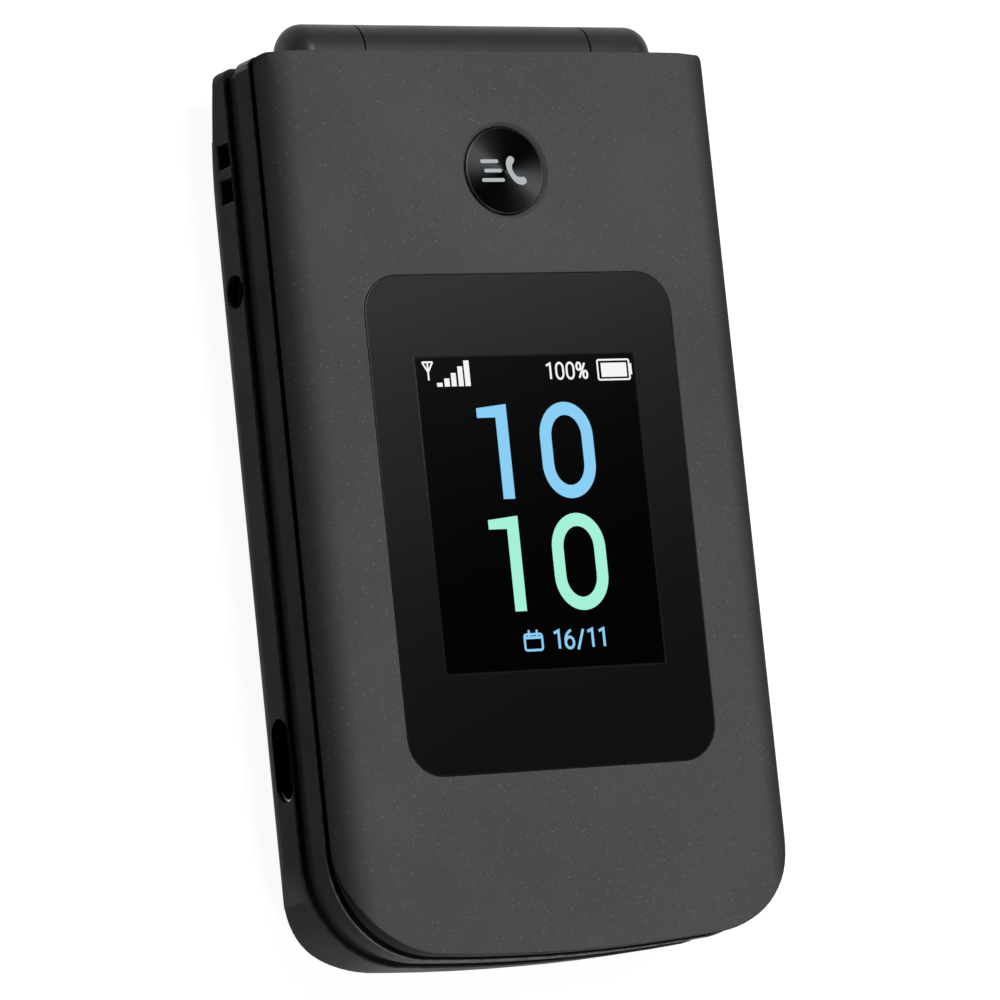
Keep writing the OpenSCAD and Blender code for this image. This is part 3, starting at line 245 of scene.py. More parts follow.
def eased(node, width, steps=2, finish=None, pick=None):
    """A copy of a part of the frame with its outward edges rounded by a width in mm. Pick chooses among
    the edges by their middles. The edge amount is 1 inside each round and 0 at its two borders."""
    work = bmesh.new()
    work.from_mesh(frame["nodes"][node].data)
    bmesh.ops.remove_doubles(work, verts=work.verts, dist=COPY_WELD)
    bmesh.ops.dissolve_limit(work, angle_limit=math.radians(FLAT_TURN), verts=work.verts, edges=work.edges)
    outer = [e for e in work.edges if len(e.link_faces) == 2
             and e.calc_face_angle_signed(0) > math.radians(EDGE_TURN)]
    if pick:
        middles = np.array([(e.verts[0].co + e.verts[1].co) / 2 for e in outer]) / MM
        outer = [e for e, chosen in zip(outer, pick(middles)) if chosen]
    made = bmesh.ops.bevel(work, geom=outer, offset=width * MM, offset_type="OFFSET", segments=steps,
                           profile=0.5, affect="EDGES", clamp_overlap=not pick)
    rounded = set(made["faces"])
    edges = np.array([all(f in rounded for f in v.link_faces) for v in work.verts], float)
    work.normal_update()
    for f in work.faces:
        f.smooth = True
    for e in work.edges:
        e.smooth = e.calc_face_angle(0) < math.radians(SHARP_TURN)
    mesh = bpy.data.meshes.new(node + "_eased")
    work.to_mesh(mesh)
    work.free()
    o = finished(node + "_eased", mesh, edges, node, finish)
    o.modifiers.new("flat faces stay flat", "WEIGHTED_NORMAL").keep_sharp = True
    return o


# %% [markdown]
# ## Plans
# A plan is an outline seen from above that can be stepped in by any distance. The phone's own plan has
# a gently bowed foot end, which runs smoothly into two round corners; the hinge end is straight. The
# other plans are circles and rectangles with round corners.

# %% Plans
def angles(start, stop, count):
    """Evenly spaced angles in radians, from one angle to another in degrees."""
    return np.radians(np.linspace(start, stop, count))


def spun(points, degrees):
    """Points of a plan turned about the origin."""
    c, s = math.cos(math.radians(degrees)), math.sin(math.radians(degrees))
    return points @ np.array([[c, s], [-s, c]])


def shell_plan(foot):
    """The phone's outline. Foot end: an arc of the bow's radius. Corners: arcs that touch the bow from
    inside and the side, so that tangents agree. Stepping in shortens every radius by the inset."""
    touch, fine = math.asin(CORNER_X / (BOW_R - CORNER_R)), 18

    def plan(inset):
        arc, turn = np.linspace(0, touch, fine), np.linspace(touch, math.pi / 2, fine)[1:]
        tight, last = max(HINGE_R - inset, LEAST_R), angles(0, 90, 7)
        side = np.linspace(foot + CORNER_RISE, END - inset - tight, 2 * fine)[1:-1]
        x = np.concatenate([(BOW_R - inset) * np.sin(arc), CORNER_X + (CORNER_R - inset) * np.sin(turn),
                            np.full(len(side), HALF - inset), HALF - inset - tight + tight * np.cos(last)])
        y = np.concatenate([foot + BOW_R - (BOW_R - inset) * np.cos(arc),
                            foot + CORNER_RISE - (CORNER_R - inset) * np.cos(turn),
                            side, END - inset - tight + tight * np.sin(last)])
        end = np.linspace(x[-1], -x[-1], fine)[1:-1]
        return np.column_stack([np.concatenate([x, end, -x[:0:-1]]),
                                np.concatenate([y, np.full(len(end), y[-1]), y[:0:-1]])])
    return plan


def box_plan(w, l, r, x=0.0, y=0.0, fine=8):
    """A rectangle with round corners around a middle point: four quarter circles and the straight runs
    between them. A negative inset makes it wider."""
    def plan(inset):
        rr = max(r - inset, LEAST_R)
        hx, hy = w / 2 - inset - rr, l / 2 - inset - rr
        a = angles(0, 90, fine)
        quarter = np.column_stack([np.cos(a), np.sin(a)]) * rr
        signs = enumerate([(1, 1), (-1, 1), (-1, -1), (1, -1)])
        return np.concatenate([spun(quarter, 90 * k) + (x + sx * hx, y + sy * hy) for k, (sx, sy) in signs])
    return plan


def disc_plan(r, x=0.0, y=0.0, fine=64):
    """A circle around a middle point."""
    a = np.linspace(0, 2 * math.pi, fine, endpoint=False)
    return lambda inset: np.column_stack([x + (r - inset) * np.cos(a), y + (r - inset) * np.sin(a)])


def moulded(plan, lo, hi, r_lo, r_hi, steps=4, crown=0.0, reach=0.0, flat=0.25):
    """A plate from a plan, between two heights, with rounded lower and upper edges. A further ring
    just inside each round keeps the flat ends flat to the eye. A crown makes the top rise towards its
    middle: over the reach, height grows by the crown times a quarter sine."""
    turn = angles(0, 90, steps + 1)
    profile = [(r_lo + flat, lo)]
    profile += [(r_lo - r_lo * math.sin(a), lo + r_lo - r_lo * math.cos(a)) for a in turn]
    profile += [(r_hi - r_hi * math.cos(a), hi - crown - r_hi + r_hi * math.sin(a)) for a in turn]
    if crown:
        profile += [(r_hi + reach * t, hi - crown * (1 - math.sin(t * math.pi / 2)))
                    for t in np.linspace(0, 1, 7)[1:]]
    else:
        profile.append((r_hi + flat, hi))
    return solid(stack(plan, profile))


def box_of(node):
    """The lowest and the highest corner of a part's box, in mm."""
    return [np.array(corner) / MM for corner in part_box(node)]


def middle(node):
    """The middle of a part's box in plan, and its lowest and highest heights, in mm."""
    low, high = box_of(node)
    return (low[0] + high[0]) / 2, (low[1] + high[1]) / 2, low[2], high[2]


print("outline:", len(shell_plan(FOOT)(0)), "points round")

# %% [markdown]
# ## Finishes
# Moulded plastic is never one flat colour: it has a fine spark-eroded grain, slow changes of tone, and
# edges that handling has rubbed a little lighter; that lighter edge tone is a painted highlight as well.
# One helper builds that with noise in object space, in metres, and it can also paint shade over rolled
# sides. Each finish sets its own colour, gloss and grain. Fixed values sit on the shader itself.

# %% Finish helper
COOL = (0.95, 1.0, 1.04)


def grey(value, tint=COOL):
    """A display grey from 0 to 255 as the linear colour that shows it, with a slight tint."""
    linear = ((value / 255 + 0.055) / 1.055) ** 2.4 if value > 10 else value / 255 / 12.92
    return tuple(linear * t for t in tint) + (1.0,)


class Nodes:
    """A short way to write the node tree of a material or a world: each call adds a node, sets its
    inputs, and links those that are given as sockets or as nodes."""

    def __init__(self, owner):
        self.owner, owner.use_nodes = owner, True
        self.tree = owner.node_tree
        self.tree.nodes.clear()

    def add(self, kind, inputs=None, **settings):
        node = self.tree.nodes.new("ShaderNode" + kind)
        for key, value in settings.items():
            setattr(node, key, value)
        for key, value in (inputs or {}).items():
            value = value.outputs[0] if isinstance(value, bpy.types.Node) else value
            if isinstance(value, bpy.types.NodeSocket):
                self.tree.links.new(value, node.inputs[key])
            else:
                node.inputs[key].default_value = value
        return node

    def place(self):
        return self.add("TexCoord").outputs["Object"]

    def edge(self):
        return self.add("Attribute", attribute_name="edge").outputs["Fac"]

    def math(self, operation, value, *others, clamp=False):
        for other in others or (0.0,):
            value = self.add("Math", {0: value, 1: other}, operation=operation, use_clamp=clamp).outputs[0]
        return value

    def vector(self, operation, a, b=(0, 0, 0)):
        outputs = self.add("VectorMath", {0: a, 1: b}, operation=operation).outputs
        return outputs["Value" if operation in ("LENGTH", "DOT_PRODUCT") else "Vector"]

    def noise(self, where, scale, detail=3.0):
        return self.add("TexNoise", {"Vector": where, "Scale": scale, "Detail": detail,
                                     "Roughness": 0.55}).outputs["Fac"]

    def span(self, value, lo, hi, to_lo=0.0, to_hi=1.0):
        return self.add("MapRange", {"Value": value, "From Min": lo, "From Max": hi,
                                     "To Min": to_lo, "To Max": to_hi}).outputs[0]

    def drift(self, where, scale, lo, hi):
        """A noise that wanders over nearly the whole way from one value to another."""
        return self.span(self.noise(where, scale), 0.3, 0.7, lo, hi)

    def mix(self, amount, a, b):
        return self.add("Mix", {0: amount, 6: a, 7: b}, data_type="RGBA").outputs[2]

    def bump(self, height, depth, strength):
        return self.add("Bump", {"Height": height, "Distance": depth * MM, "Strength": strength})

    def surface(self, inputs):
        """The principled shader and the output at the end of a material's tree."""
        self.add("OutputMaterial", {"Surface": self.add("BsdfPrincipled", inputs)})
        return self.owner


FLECK_SIZES = ((0.6, (1800.0, 5200.0, 1800.0)), (-0.9, (5600.0, 2000.0, 2000.0)))
SIDE_SHADE_FROM, SIDE_SHADE_TO = (HALF - 3.6) * MM, (HALF - 1.0) * MM


def moulding(name, tones, rough, gloss=0.2, grain=7000.0, depth=0.006, metal=0.0, flecks=0.0, coat=0.0,
             wear_and_highlight=1.0, painted_side_shade=0.0, stretch=(1.0, 1.0, 1.0)):
    """A moulded, painted or rolled surface with a dark, a light and an edge tone, each a grey or a grey and
    a tint. Colour: slow and fine noise between dark and light, then the edge tone along edges, in broken
    patches, by its share: rubbed lighter by handling and a painted highlight in one. Roughness: a base
    value
    with a slow change. Bump: fine grain, depth in mm. Painted side shade: the share of black painted over
    the rolled sides as shade, most towards the outline. Flecks: scattered bright cells, as in metallic
    lacquer."""
    dark, light, worn_and_highlight = (grey(*tone) if isinstance(tone, tuple) else grey(tone) for tone in tones)
    n = Nodes(bpy.data.materials.new(name))
    where = n.add("Mapping", {"Vector": n.place(), "Scale": stretch}).outputs[0]
    slow, fine = n.noise(where, 45.0), n.noise(where, grain, 2.0)
    tone = n.math("ADD", n.math("MULTIPLY", slow, 0.6), n.math("MULTIPLY", fine, 0.4))
    colour = n.mix(n.span(tone, 0.35, 0.65), dark, light)
    for turn, size in FLECK_SIZES if flecks else ():
        spun = n.add("Mapping", {"Vector": where, "Rotation": (0, 0, turn), "Scale": size})
        cell = n.add("TexVoronoi", {"Vector": spun, "Scale": 1.0}).outputs
        near = n.span(cell["Distance"], 0.1, 0.45, 1.0, 0.0)
        pick = n.span(n.add("SeparateColor", {0: cell["Color"]}), 0.9, 1.0)
        colour = n.mix(n.math("MULTIPLY", near, pick, flecks), colour, worn_and_highlight)
    # Painted shade: black is painted over the rolled sides, strongest towards the outline, where shade
    # falls
    if painted_side_shade:
        across = n.math("ABSOLUTE", n.add("SeparateXYZ", {0: where}).outputs["X"])
        colour = n.mix(n.math("MULTIPLY", n.span(across, SIDE_SHADE_FROM, SIDE_SHADE_TO), painted_side_shade), colour, grey(0))
    # Edge tone: rubbed lighter by handling, and a painted highlight along the rounds, in broken patches
    patch = n.drift(where, 900.0, 0.35, 1.0)
    colour = n.mix(n.math("MULTIPLY", n.edge(), patch, wear_and_highlight, clamp=True), colour, worn_and_highlight)
    return n.surface({
        "Base Color": colour, "Normal": n.bump(fine, depth, 0.6), "Specular IOR Level": gloss,
        "Roughness": n.drift(where, 160.0, rough - 0.05, rough + 0.05),
        "Metallic": metal, "Coat Weight": coat, "Coat Roughness": 0.08})


# %% The finishes of the phone
LEAF_GREEN, MILK, NIGHT = (0.35, 1.3, 0.7), (1.0, 0.98, 0.92), (0.95, 1.0, 1.1)
BY_SLOT = {
    # The cover's lacquer has painted shade on its rolled sides
    "cover_grey": moulding("cover_lacquer", (73, 81, 122), 0.42, gloss=0.002, grain=5200, flecks=0.65,
                           wear_and_highlight=0.15, painted_side_shade=0.56),
    "case_black": moulding("case_plastic", (26, 33, 84), 0.5, gloss=0.05),
    "keypad_black": moulding("recess_plastic", (37, 43, 64), 0.55, gloss=0.05),
    "window_black": moulding("window_lacquer", (14, 16, 40), 0.06, gloss=0.15, depth=0.0004),
    "display_black": moulding("display_black", (8, 10, 20), 0.1, gloss=0.15, depth=0.0004),
    "key_plastic": moulding("key_plastic", (30, 37, 66), 0.4, gloss=0.15),
    "ring_metal": moulding("ring_metal", (120, 140, 190), 0.3, metal=1.0, grain=2500),
    "button_black": moulding("button_black", (22, 28, 70), 0.22, gloss=0.5),
    "battery_wrap": moulding("battery_wrap", ((62, NIGHT), (72, NIGHT), 110), 0.45, gloss=0.4, grain=1500),
    "gold_contact": moulding("gold_contact", ((200, (1.0, 0.72, 0.32)), (215, (1.0, 0.76, 0.38)),
                                              (235, (1.0, 0.82, 0.5))), 0.28, metal=1.0),
    "board_green": moulding("board_lacquer", ((70, LEAF_GREEN), (84, LEAF_GREEN), (120, (0.6, 1.2, 0.8))),
                            0.35, gloss=0.5, grain=1800, depth=0.02),
    "steel": moulding("steel", (140, 165, 200), 0.34, metal=1.0, grain=3000, stretch=(1.0, 0.1, 1.0)),
    "inner_black": moulding("inner_plastic", (38, 46, 60), 0.6, gloss=0.3),
    "dome_film": moulding("dome_film", ((190, MILK), (205, MILK), 230), 0.35),
    "grey_rubber": moulding("keypad_rubber", (78, 90, 110), 0.7, gloss=0.25),
    "black_rubber": moulding("rubber", (30, 38, 50), 0.75),
    "flex_amber": moulding("flex_film", ((150, (1.3, 0.62, 0.2)), (165, (1.3, 0.66, 0.24)), 200), 0.35),
    "magnet_nickel": moulding("nickel", (170, 185, 215), 0.22, metal=1.0, grain=2500)}
for name, part in frame["nodes"].items():
    part.data.materials.clear()
    part.data.materials.append(BY_SLOT[SLOT_OF[name]])
print("finishes:", len(BY_SLOT), "for", len(SLOT_OF), "parts")

# %% [markdown]
# ## The lid's cover
# The cover is a shallow moulding: flat across the middle, rolled down along its two long sides in a
# gentle and then a tight arc, and cut off straight at the hinge. Rings of the outline are carried up its
# section, because then the roll, the round corners at the foot and the fine broken edges at the two
# ends all come out of one formula.

# %% Cover
GENTLE_R, TIGHT_R, KNEE_SLOPE = 12.0, 4.5, math.radians(20)
FLAT_X, ROLL_X, ROLL_Z = 22.2377, 24.8029, 13.4677
COVER_T, END_ROUND, PROBE = 1.1, 0.25, 0.01
BUTTON_R, BUTTON_GAP = 4.9, 0.12
window_x, window_y, window_lo, window_hi = middle("outer_window")
button_x, button_y, button_lo, button_hi = middle("quick_button")


def cover_height(x, inset):
    """Height of the cover over x: flat, then a circle of the gentle radius up to the knee's slope, then
    a circle of the tight radius. The inset gives the parallel surface below it."""
    x = np.abs(x)
    gentle, tight = (z + np.sqrt(np.maximum((r - inset) ** 2 - np.clip(x - start, 0, None) ** 2, 0))
                     for z, r, start in ((TOP_Z - GENTLE_R, GENTLE_R, FLAT_X), (ROLL_Z, TIGHT_R, ROLL_X)))
    return np.where(x > ROLL_X + (TIGHT_R - inset) * math.sin(KNEE_SLOPE), tight, gentle)


def cover_ring(inset, under=0.0):
    """One ring on the cover. Near the two ends the edge is rounded: the surface drops there by the
    round's own circle, and along the rolled sides it doesn't."""
    loop = cover_plan(inset + under)
    nearby = cover_plan(inset + under + PROBE)
    facing_end = np.clip(np.abs(nearby[:, 1] - loop[:, 1]) / PROBE, 0, 1) ** 2
    drop = END_ROUND - math.sqrt(END_ROUND ** 2 - max(END_ROUND - inset, 0) ** 2)
    return at_height(loop, cover_height(loop[:, 0], under) - drop * facing_end * (under == 0))


def opening(plan, *steps):
    """The edge of an opening in the cover, from (inset, drop below the top) steps down to its inside."""
    return stack(plan, [(inset, TOP_Z - drop) for inset, drop in (*steps, (0, COVER_T))])


cover_plan = shell_plan(LID_FOOT)
insets = np.concatenate([END_ROUND * (1 - np.cos(angles(0, 90, 6))), np.linspace(0.7, 6.55, 26),
                         [6.7, 6.85]])
outer = [cover_ring(i) for i in insets]
inner = [cover_ring(i, COVER_T) for i in np.linspace(0.0, 6.2, 14)]
rim, rim_low = at_height(cover_plan(0), EDGE_Z), at_height(cover_plan(0.12), EDGE_Z)
inner_rim = at_height(cover_plan(COVER_T), np.minimum(EDGE_Z, inner[0][:, 2]))
window_edge = opening(box_plan(39.0, 54.9, 4.25, window_x, window_y), (-0.9, 0), (-0.4, 0), (-0.12, 0),
                      (-0.08, 0.01), (-0.03, 0.05), (0, 0.12))
button_edge = opening(disc_plan(BUTTON_R + BUTTON_GAP, button_x, button_y), (-1.1, 0), (-0.75, 0),
                      (-0.5, 0), (-0.45, 0.015), (-0.4, 0.05), (-0.05, 0.38), (-0.01, 0.43), (0, 0.48))
piece("cover_shell", [
    band([rim_low, rim] + outer), cap(outer[-1], window_edge[0], button_edge[0]),
    band(window_edge), band(button_edge), cap(inner[-1], window_edge[-1], button_edge[-1]),
    band(inner), band([inner[0], inner_rim]), band([inner_rim, rim_low])], "lid_cover")

# %% [markdown]
# ## Strokes
# Figures and signs are drawn with a pen of one width, as on most screens and keys. A stroke is a small
# rectangle carried along a path: every ring has four points, offset to both sides of the path and up by
# the stroke's thickness. At a bend the offset follows the middle of the two directions.

# %% Strokes and figures
INK = 0.02
MOST_BEND = 0.35


def stroke(path, width, z, thick=INK, closed=False):
    """A ribbon along a path of (x, y) points, with its underside at z. The side offset is half the
    width across the mean direction, lengthened at bends so that the width stays the same."""
    path = np.asarray(path, float)
    if closed:
        before, after = path - np.roll(path, 1, 0), np.roll(path, -1, 0) - path
    else:
        legs = np.diff(path, axis=0)
        before, after = np.concatenate([legs[:1], legs]), np.concatenate([legs, legs[-1:]])
    before, after = (way / np.linalg.norm(way, axis=1, keepdims=True) for way in (before, after))
    mean = before + after
    mean /= np.linalg.norm(mean, axis=1, keepdims=True)
    side = np.column_stack([-mean[:, 1], mean[:, 0]])
    side *= (width / 2) / np.maximum((mean * after).sum(1, keepdims=True), MOST_BEND)
    rings = np.stack([at_height(path - side, z), at_height(path + side, z),
                      at_height(path + side, z + thick), at_height(path - side, z + thick)], 1)
    if closed:
        return [band(np.concatenate([rings, rings[:1]]))]
    return [band(rings), (rings[0], np.array([[0, 1, 2, 3]])), (rings[-1], np.array([[3, 2, 1, 0]]))]


def bow(x, y, rx, ry, start, stop, steps=18):
    """Points on an ellipse around (x, y), from one angle to another, in degrees."""
    a = angles(start, stop, steps)
    return np.column_stack([x + rx * np.cos(a), y + ry * np.sin(a)])


def oval(x, y, rx, ry, straight, steps=14):
    """A closed figure nought: two half ellipses joined by straight sides."""
    return np.concatenate([bow(x, y + straight / 2, rx, ry - straight / 2, 0, 180, steps),
                           bow(x, y - straight / 2, rx, ry - straight / 2, 180, 360, steps)])


# Each figure is a list of (path, closed) in a cell 1 wide and 1.6 high
CELL_H = 1.6
FIGURES = {
    "0": [(oval(0.5, 0.8, 0.42, 0.8, 0.5), True)],
    "1": [([(0.12, 1.36), (0.6, 1.56), (0.6, 0)], False)],
    "2": [(np.concatenate([bow(0.5, 1.15, 0.42, 0.45, 165, -30), [(0.06, 0), (0.96, 0)]]), False)],
    "3": [(bow(0.46, 1.2, 0.4, 0.38, 150, -90), False), (bow(0.46, 0.42, 0.44, 0.42, 90, -150), False)],
    "4": [([(0.72, 1.58), (0.04, 0.45), (0.98, 0.45)], False), ([(0.72, 0), (0.72, 1.58)], False)],
    "5": [(np.concatenate([[(0.88, 1.58), (0.2, 1.58), (0.13, 0.86)],
                           bow(0.48, 0.5, 0.42, 0.5, 130, -150)]), False)],
    "6": [(bow(0.5, 0.48, 0.42, 0.48, 0, 345, 24), True), (bow(0.95, 0.6, 0.87, 0.98, 105, 176), False)],
    "7": [([(0.04, 1.58), (0.94, 1.58), (0.36, 0)], False)],
    "8": [(bow(0.5, 1.2, 0.36, 0.38, 0, 340, 20), True), (bow(0.5, 0.42, 0.43, 0.42, 0, 340, 20), True)],
    "9": [(bow(0.5, 1.12, 0.42, 0.48, 0, 345, 24), True), (bow(0.05, 1.0, 0.87, 0.98, -75, -4), False)],
    "/": [([(0.1, -0.16), (0.75, 1.6)], False)],
    ":": [([(0.5, 0.28), (0.5, 0.46)], False), ([(0.5, 1.06), (0.5, 1.24)], False)],
    "%": [(oval(0.28, 1.22, 0.24, 0.36, 0.1, 8), True), (oval(1.02, 0.38, 0.24, 0.36, 0.1, 8), True),
          ([(0.28, 0.05), (1.02, 1.55)], False)],
    "*": [([(0.5, 0.2), (0.5, 1.4)], False), ([(0.0, 0.5), (1.0, 1.1)], False),
          ([(0.0, 1.1), (1.0, 0.5)], False)],
    "#": [([(0.22, 0.05), (0.36, 1.55)], False), ([(0.64, 0.05), (0.78, 1.55)], False),
          ([(-0.06, 0.5), (1.02, 0.5)], False), ([(-0.02, 1.1), (1.06, 1.1)], False)],
}
STEPS = {"1": 0.95, "/": 0.85, "%": 1.4}
LAYER = 0.002


def figures(text, x, y, height, width, z, squeeze, gap=0.3, thick=INK):
    """Patches for a line of figures: the left end of its foot line at (x, y), its height, the pen's
    width and how narrow the cells are. Strokes that cross lie in layers of their own."""
    patches, unit = [], height / CELL_H
    for mark in text:
        for n, (path, closed) in enumerate(FIGURES[mark]):
            placed = np.asarray(path) * (unit * squeeze, unit) + (x, y)
            patches += stroke(placed, width, z + LAYER * n, thick, closed)
        x += unit * squeeze * (STEPS.get(mark, 1.0) + gap)
    return patches


# %% [markdown]
# ## Outer window and clock
# The window is a slab of clear plastic, printed black from behind and set flush into the cover. Its edge
# is just broken, and a lighter tone painted on that round is a painted highlight, a hair line of light
# round it. Behind it the small display shows the time in two rows, the date, the signal and the battery,
# and its lit area is a deeper black than the print. Both blacks are painted lighter towards the hinge end,
# a painted reflection.
# The picture is laid on the face of the slab, where it looks the same from every side.

# %% Outer window
REFLECTION_LEAN, DIMMEST = 0.35, 0.8


def glass_tone(name, low, high, y_low, y_high, gloss):
    """Black printed glass with a painted reflection: its tone rises along the phone, and a little across
    it, from one place to another, with a faint cloudiness. A lighter tone on the rounded edges is a painted
    highlight. The face is smooth and glossy."""
    n = Nodes(bpy.data.materials.new(name))
    where = n.place()
    place = n.add("SeparateXYZ", {0: where}).outputs
    # Painted reflection: the tone rises towards the hinge end and a little towards the left
    along = n.math("SUBTRACT", place["Y"], n.math("MULTIPLY", place["X"], REFLECTION_LEAN))
    cloud = n.drift(where, 30.0, -0.04, 0.04)
    rise = n.math("ADD", n.span(along, y_low * MM, y_high * MM), cloud, clamp=True)
    colour = n.mix(n.math("POWER", rise, 2.2), grey(low), grey(high))
    return n.surface({
        # Painted highlight: a lighter tone on the rounded edges
        "Base Color": n.mix(n.math("MULTIPLY", n.edge(), 0.5), colour, grey(50)),
        "Roughness": n.drift(where, 220.0, 0.056, 0.084),
        "Normal": n.bump(n.noise(where, 120.0), 0.002, 0.3), "Specular IOR Level": gloss})


def glowing(n, shade, rough, gloss):
    """The surface of a lit display: nearly black glass that gives off its picture."""
    return n.surface({"Emission Color": shade, "Emission Strength": 1.0, "Roughness": rough,
                      "Base Color": (0.01, 0.01, 0.01, 1), "Specular IOR Level": gloss})


def lit(name, colour):
    """A lit part of a display: it gives off its colour, a little unevenly."""
    n = Nodes(bpy.data.materials.new(name))
    tone = n.drift(n.place(), 400.0, 0.96, 1.0)
    shade = n.mix(tone, tuple(c * DIMMEST for c in colour) + (1.0,), colour + (1.0,))
    return glowing(n, shade, n.span(tone, 0.96, 1.0, 0.12, 0.1), 0.1)


PICTURE_Z = window_hi + 0.005
slab = moulded(box_plan(38.9, 54.8, 4.2, window_x, window_y), window_lo, window_hi, 0.1, 0.1, 3)
piece("window_glass", slab, "outer_window", glass_tone("outer_glass", 12, 50, -36, 26, 0.03))
screen = moulded(box_plan(28.06, 34.98, 0.15, 0.03, -3.44, 3), window_hi - 0.3, PICTURE_Z, 0.05, 0.003, 2)
piece("outer_screen", screen, "outer_display", glass_tone("screen_black", 0, 18, -22, 18, 0.015), False)

# %% Clock, date and signs
BLUE = lit("clock_blue", (0.24, 0.61, 0.91))
GREEN = lit("clock_green", (0.36, 0.87, 0.68))
WHITE = lit("sign_white", (0.9, 0.9, 0.9))
NOUGHT_PEN, NOUGHT_SIDE = 1.45, 3.0


def flag_one(x0, x1, x2, foot, chin, shoulder, top):
    """A figure one with a flag: the loop of its six corners, filled and given a little thickness."""
    loop = [(x0, chin), (x1, chin), (x1, foot), (x2, foot), (x2, top), (x0, shoulder)]
    return plate(loop, PICTURE_Z, INK)


def ring_nought(x, y, rx, ry):
    """A figure nought with an outer oval of two radii, drawn with a pen."""
    path = oval(x, y, rx - NOUGHT_PEN / 2, ry - NOUGHT_PEN / 2, NOUGHT_SIDE, 24)
    return stroke(path, NOUGHT_PEN, PICTURE_Z, closed=True)


def drawn(*strokes):
    """Strokes on the display from (width, layer, path), the higher layers over the lower ones."""
    return [patch for width, layer, path in strokes
            for patch in stroke(path, width, PICTURE_Z + LAYER * layer)]


hours = flag_one(-6.82, -4.5, -3.06, -1.91, 7.12, 8.19, 8.57) + ring_nought(4.25, 3.27, 3.38, 5.36)
minutes = flag_one(-6.77, -4.48, -3.03, -14.3, -5.2, -4.16, -3.79) + ring_nought(4.34, -9.12, 3.4, 5.38)
leaf = stroke(box_plan(2.2, 1.75, 0.25, -2.6, -17.75, 3)(0), 0.26, PICTURE_Z, closed=True)
leaf += drawn((0.3, 1, [(-3.6, -17.25), (-1.6, -17.25)]), (0.24, 2, [(-3.1, -16.4), (-3.1, -17.1)]),
              (0.24, 2, [(-2.1, -16.4), (-2.1, -17.1)]))
date = figures("16/11", -0.1, -18.6, 2.02, 0.3, PICTURE_Z, 0.98, 0.22) + leaf
BAR_FOOT = 10.67
BARS = [(-11.38, -10.69, 11.1), (-10.43, -9.79, 11.57), (-9.55, -8.93, 12.15), (-8.66, -8.04, 12.86),
        (-7.83, -7.17, 13.5)]
signs = drawn(*[(right - left, 0, [((left + right) / 2, BAR_FOOT), ((left + right) / 2, top)])
                for left, right, top in BARS])
signs += drawn((0.2, 0, [(-12.35, 11.4), (-12.35, 13.4)]), (0.2, 2, [(-13.0, 13.4), (-11.7, 13.4)]),
               (0.2, 1, [(-13.0, 13.4), (-12.35, 12.3), (-11.7, 13.4)]))
signs += figures("100%", 2.45, 11.2, 1.78, 0.24, PICTURE_Z, 0.95, 0.27)
signs += stroke(box_plan(4.06, 2.22, 0.12, 11.2, 12.09, 2)(0), 0.2, PICTURE_Z, closed=True)
signs += drawn((1.58, 0, [(9.6, 12.07), (12.88, 12.07)]), (1.25, 0, [(13.32, 12.12), (13.56, 12.12)]))
for name, patches, colour in (("clock_hours", hours, BLUE), ("clock_minutes", minutes, GREEN),
                              ("date_line", date, BLUE), ("status_signs", signs, WHITE)):
    piece(name, patches, "outer_display", colour, False)

# %% [markdown]
# ## Quick button
# The button is a turned disc of black anodised metal. Turning leaves rings so fine that they stretch
# every highlight into a fan through the middle. The shader does that with anisotropic gloss, whose
# direction is worked out from the place: along the line to the button's middle. A fan of the same shape
# is painted into its colour as well, a painted highlight, and its broken edge is painted lighter, another
# painted highlight. The face is dished by a tenth of a millimetre, its edge is broken by as much, and it
# carries a plain handset sign.

# %% Quick button
def turned(name, dark, light, rough, at, anisotropic, fan=None):
    """Metal turned about a point: fine rings, and gloss stretched across them, so that a lamp becomes a
    fan of light with its point at the middle. Where fan is given, a painted highlight of that shape is laid
    into the colour: its share of light is the size of the dot product of the outward direction and the
    fan's, to the third power. The rounded edges get a lighter tone, a painted highlight."""
    n = Nodes(bpy.data.materials.new(name))
    where = n.add("Mapping", {"Vector": n.place(), "Location": (-at[0] * MM, -at[1] * MM, 0)})
    flat = n.vector("MULTIPLY", where, (1, 1, 0))
    outward = n.vector("NORMALIZE", flat)
    rings = n.add("TexNoise", {"W": n.math("MULTIPLY", n.vector("LENGTH", flat), 9000.0), "Scale": 1.0,
                               "Detail": 2.0}, noise_dimensions="1D").outputs["Fac"]
    share = n.span(rings, 0.35, 0.65)
    # Painted highlight: the fan of light laid into the colour, fixed on the part
    if fan:
        painted_lobe = n.math("POWER", n.math("ABSOLUTE", n.vector("DOT_PRODUCT", outward, (*fan, 0))), 3.0)
        share = n.math("MULTIPLY", painted_lobe, n.span(rings, 0.3, 0.7, 0.8, 1.0))
    colour = n.mix(share, grey(dark), grey(light))
    return n.surface({
        # Painted highlight: a lighter tone on the rounded edges
        "Base Color": n.mix(n.math("MULTIPLY", n.edge(), 0.4), colour, grey(70)), "Tangent": outward,
        "Normal": n.bump(rings, 0.0015, 0.35), "Metallic": 1.0, "Anisotropic": anisotropic,
        "Roughness": n.span(rings, 0.3, 0.7, rough - 0.04, rough + 0.04)})


